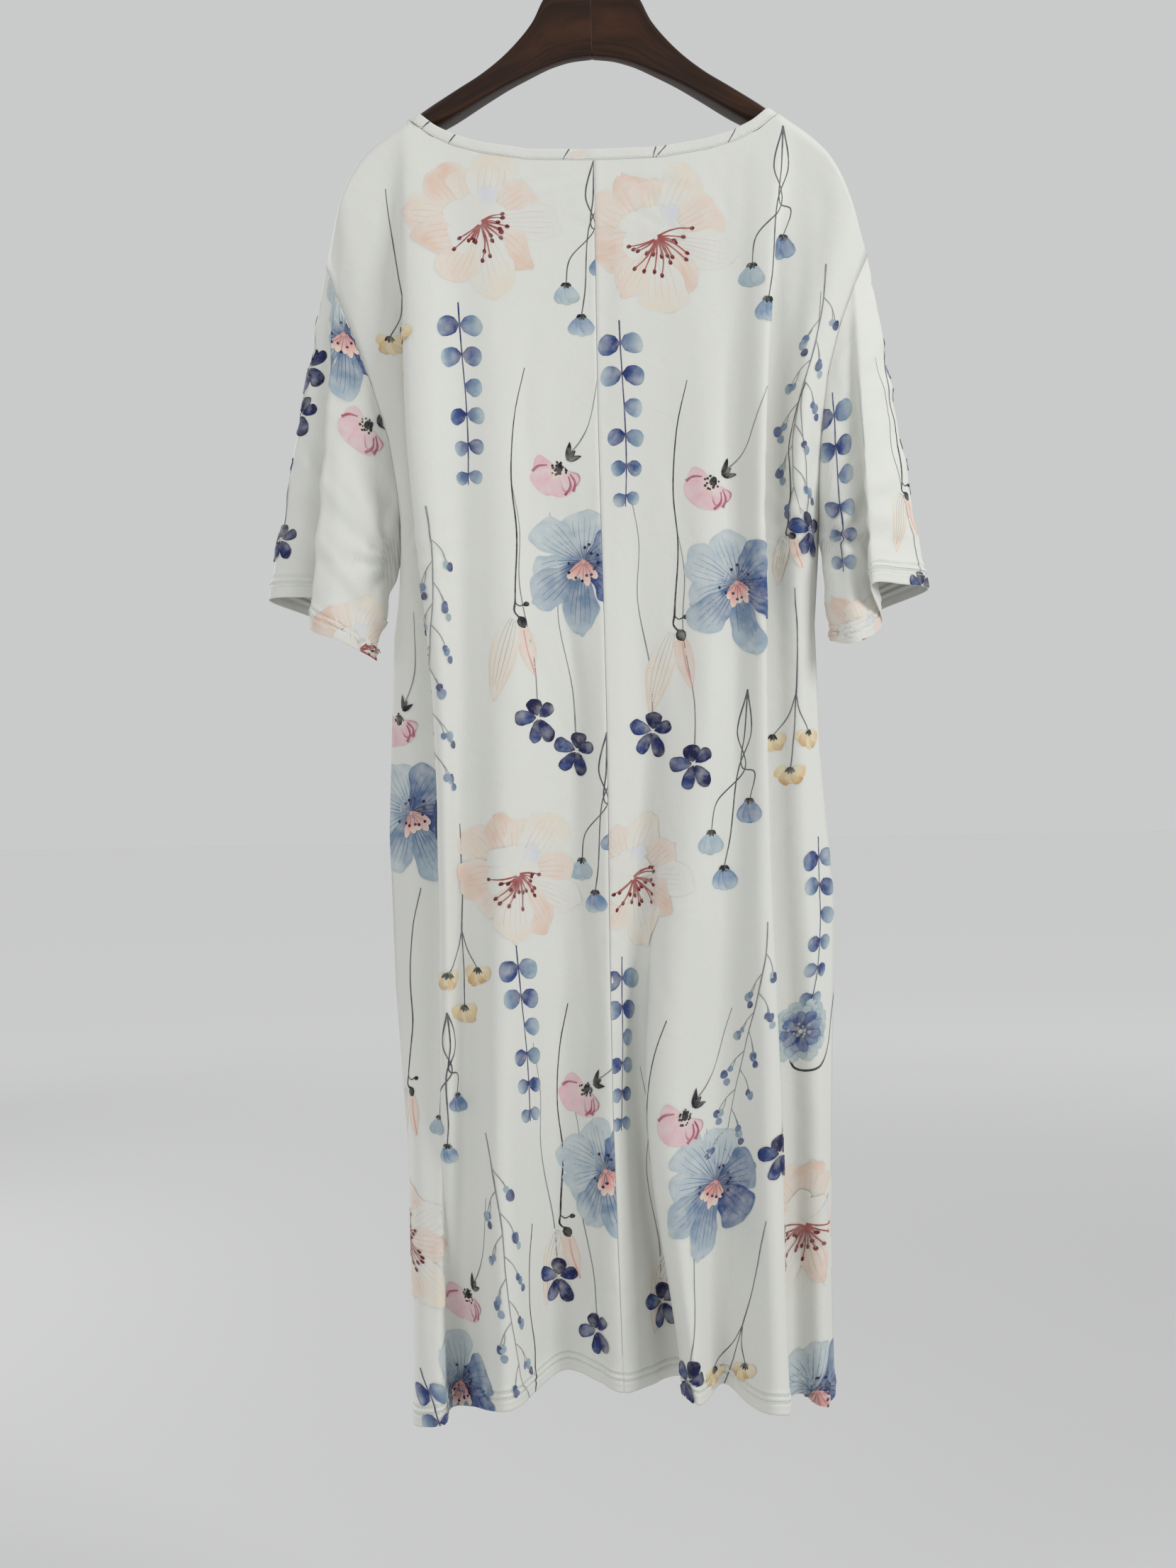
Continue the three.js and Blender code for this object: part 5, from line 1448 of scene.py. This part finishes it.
def closed_rings(name, rings, material, uv):
    """A solid through rings of points, closed by a flat fan at each end."""
    count, sides = rings.shape[:2]
    points = np.concatenate([rings.reshape(-1, 3), rings[:1].mean(axis=1), rings[-1:].mean(axis=1)])
    faces = tube_faces(count, sides)
    first, last = count * sides, (count - 1) * sides
    for k in range(sides):
        faces.append((first, (k + 1) % sides, k))
        faces.append((first + 1, last + k, last + (k + 1) % sides))
    flat = np.concatenate([uv.reshape(-1, 2), uv[0].mean(axis=0)[None], uv[-1].mean(axis=0)[None]])
    obj = mesh_object(name, points, faces, material, uv=flat)
    outward = obj.data.polygons[sides * count // 2]
    middle = rings.reshape(count, sides, 3)[count // 2].mean(axis=0) * MM
    if np.dot(np.array(outward.normal), np.array(outward.center) - middle) < 0:
        obj.data.flip_normals()
    return obj


def hanger_half(way):
    """One half of the hanger, to the right (way 1) or the left (-1) of its join."""
    places = np.concatenate([[0, 0.03, 0.08], np.linspace(0.2, 13, 90)])
    table = curve_through(HANGER[:, :3], places)
    extra = curve_through(np.stack([HANGER[:, 0], HANGER[:, 3], HANGER[:, 4]], axis=-1), places)
    x, top, bottom, half, rounding = table[:, 0], table[:, 1], table[:, 2], extra[:, 1], extra[:, 2]
    eased = np.ones(len(x))
    eased[:2] = 0.98, 0.996
    x[:2] = 0.04, 0.5
    end = np.array([0.93, 0.78, 0.5, 0.2])
    x = np.concatenate([x, x[-1] + np.array([0.8, 1.7, 2.5, 2.9])])
    middle = np.concatenate([(top + bottom) / 2, np.full(4, (top[-1] + bottom[-1]) / 2)])
    high = np.concatenate([(top - bottom) / 2 * eased, (top[-1] - bottom[-1]) / 2 * end])
    half = np.concatenate([half * eased, half[-1] * end])
    rounding = np.concatenate([rounding, np.ones(4)])
    angle = np.linspace(0, 2 * np.pi, 49)[:-1]
    c, s = np.cos(angle), np.sin(angle)
    wide = half[:, None] * np.sign(c) * np.abs(c) ** rounding[:, None]
    tall = high[:, None] * np.sign(s) * np.abs(s) ** rounding[:, None]
    rings = np.stack([np.broadcast_to(way * x[:, None], wide.shape), wide, middle[:, None] + tall], axis=-1)
    run = run_along(np.stack([x, middle], axis=-1))[:, None] + (0 if way > 0 else OTHER_GRAIN)
    uv = np.stack(np.broadcast_arrays(run, 24 * np.sin(angle)[None] + wide * 0.4), axis=-1)
    obj = closed_rings("hanger_right_wood" if way > 0 else "hanger_left_wood", rings, walnut, uv)
    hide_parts("hanger_right" if way > 0 else "hanger_left")
    return obj


hanger = [hanger_half(-1), hanger_half(1)]

# The hook and its collar

WIRE = 4.6  # the wire's diameter
HOOK_INSIDE = 20  # radius of the bend's inside
HOOK_FOOT = -56.4
COLLAR_FOOT = -61.7
# The collar's profile: height, radius
COLLAR = [(0, 0), (0, 5.7), (0.15, 5.93), (0.35, 6), (1.1, 6), (1.35, 5.9), (1.6, 5.4), (1.9, 4.75),
          (2.3, 4.6), (3.9, 4.6), (4.3, 4.5), (4.7, 4.2), (5, 3.8), (5, 0)]


def hook_object():
    """The bent wire, from its foot in the crown to its rounded tip."""
    radius = HOOK_INSIDE + WIRE / 2
    stem = [(0, 0, z) for z in (HOOK_FOOT, HOOK_FOOT + WIRE / 2, HOOK_FOOT + WIRE)]
    bend = [(radius * math.cos(a), 0, radius * math.sin(a) - HOOK_INSIDE)
            for a in np.radians(np.linspace(-72, 161, 16))]
    count = 150
    path = curve_through(stem + bend, np.linspace(0, len(stem + bend) - 1, count))
    along = np.gradient(path, axis=0)
    along /= np.linalg.norm(along, axis=1, keepdims=True)
    tip = np.sin(np.linspace(0, np.pi / 2, 7))[1:]  # the rings of the rounded tip
    path = np.vstack([path, path[-1] + along[-1] * (tip[:, None] * WIRE / 2)])
    along = np.vstack([along, np.repeat(along[-1:], len(tip), axis=0)])
    size = np.concatenate([np.ones(count), np.sqrt(np.maximum(0.004, 1 - tip**2))]) * WIRE / 2
    angle = np.linspace(0, 2 * np.pi, 25)[:-1]
    side = np.cross(along, [0, 1, 0])
    rings = (path[:, None] + size[:, None, None] * (np.cos(angle)[None, :, None] * side[:, None]
             + np.sin(angle)[None, :, None] * np.array([0, 1, 0])))
    obj = closed_rings("hook_wire", rings, steel, np.zeros(rings.shape[:2] + (2,)))
    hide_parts("hook")


def collar_object():
    """The turned collar at the hook's foot."""
    angle = np.linspace(0, 2 * np.pi, 49)[:-1]
    rings = np.array([[(r * math.cos(a), r * math.sin(a), COLLAR_FOOT + h) for a in angle]
                      for h, r in [(h, max(r, 0.01)) for h, r in COLLAR]])
    obj = closed_rings("hook_collar", rings, steel, np.zeros(rings.shape[:2] + (2,)))
    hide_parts("hook_ferrule")


hook_object()
collar_object()

# Floor, light and camera

FLOOR = -1.75  # its height, in metres like all of this section
FLOOR_REACH = 30
corners = [(x * FLOOR_REACH, y * FLOOR_REACH, FLOOR) for x, y in ((-1, -1), (1, -1), (1, 1), (-1, 1))]
floor_mesh = bpy.data.meshes.new("floor")
floor_mesh.from_pydata(corners, [], [(0, 1, 2, 3)])
floor_material, nodes, links, floor_shader = shader_tree("floor", Roughness=0.9, Specular_IOR_Level=0.2)
away = add_node(nodes, "VectorMath", operation="LENGTH")
links.new(add_node(nodes, "TexCoord").outputs["Object"], away.inputs[0])
# Painted light: the floor's colour is darker near the dress, where the lamps light it most, and grows paler
# outwards, where the lights no longer reach it, so that it looks as pale as the studio behind it
tone = add_node(nodes, "MapRange", interpolation_type="SMOOTHSTEP", From_Min=1.9, From_Max=6, To_Min=0.62,
                To_Max=0.98)
links.new(away.outputs["Value"], tone.inputs["Value"])
links.new(tone.outputs["Result"], floor_shader.inputs["Base Color"])
floor_mesh.materials.append(floor_material)
floor = bpy.data.objects.new("floor", floor_mesh)
bpy.context.scene.collection.objects.link(floor)

world = bpy.data.worlds.new("studio")
bpy.context.scene.world = world
world.use_nodes = True
sky = world.node_tree.nodes["Background"]
sky.inputs["Color"].default_value = (0.92, 0.925, 0.93, 1)
sky.inputs["Strength"].default_value = 0.64


def area_light(name, place, aim, size, power):
    """A soft light that faces the place aim."""
    data = bpy.data.lights.new(name, "AREA")
    data.shape = "RECTANGLE"
    data.size, data.size_y = size
    data.energy = power
    obj = bpy.data.objects.new(name, data)
    bpy.context.scene.collection.objects.link(obj)
    obj.location = place
    way = np.array(aim, float) - np.array(place, float)
    flat = math.hypot(way[0], way[1])
    obj.rotation_euler = (math.atan2(flat, -way[2]), 0, math.atan2(-way[0], way[1]))


area_light("window", (2.3, -1.4, 0.7), (0, 0, -0.7), (1.0, 1.3), 42)
area_light("fill", (-1.9, -2.2, 0.1), (0, 0, -0.6), (1.1, 1.1), 15)
area_light("far_side", (-2.2, 1.9, 0.6), (0, 0, -0.7), (1.2, 1.4), 30)

CAMERA_AT = (-0.0146, -1.7, -0.788)
CAMERA_ROLL = math.radians(-0.94)
camera_data = bpy.data.cameras.new("camera")
camera_data.sensor_fit = "VERTICAL"
camera_data.sensor_height = 36
camera_data.lens = 42.5
camera = bpy.data.objects.new("camera", camera_data)
bpy.context.scene.collection.objects.link(camera)
camera.matrix_world = (Matrix.Translation(CAMERA_AT) @ Matrix.Rotation(math.radians(90), 4, "X")
                       @ Matrix.Rotation(CAMERA_ROLL, 4, "Z"))
bpy.context.scene.camera = camera
bpy.context.scene.view_settings.view_transform = "Standard"
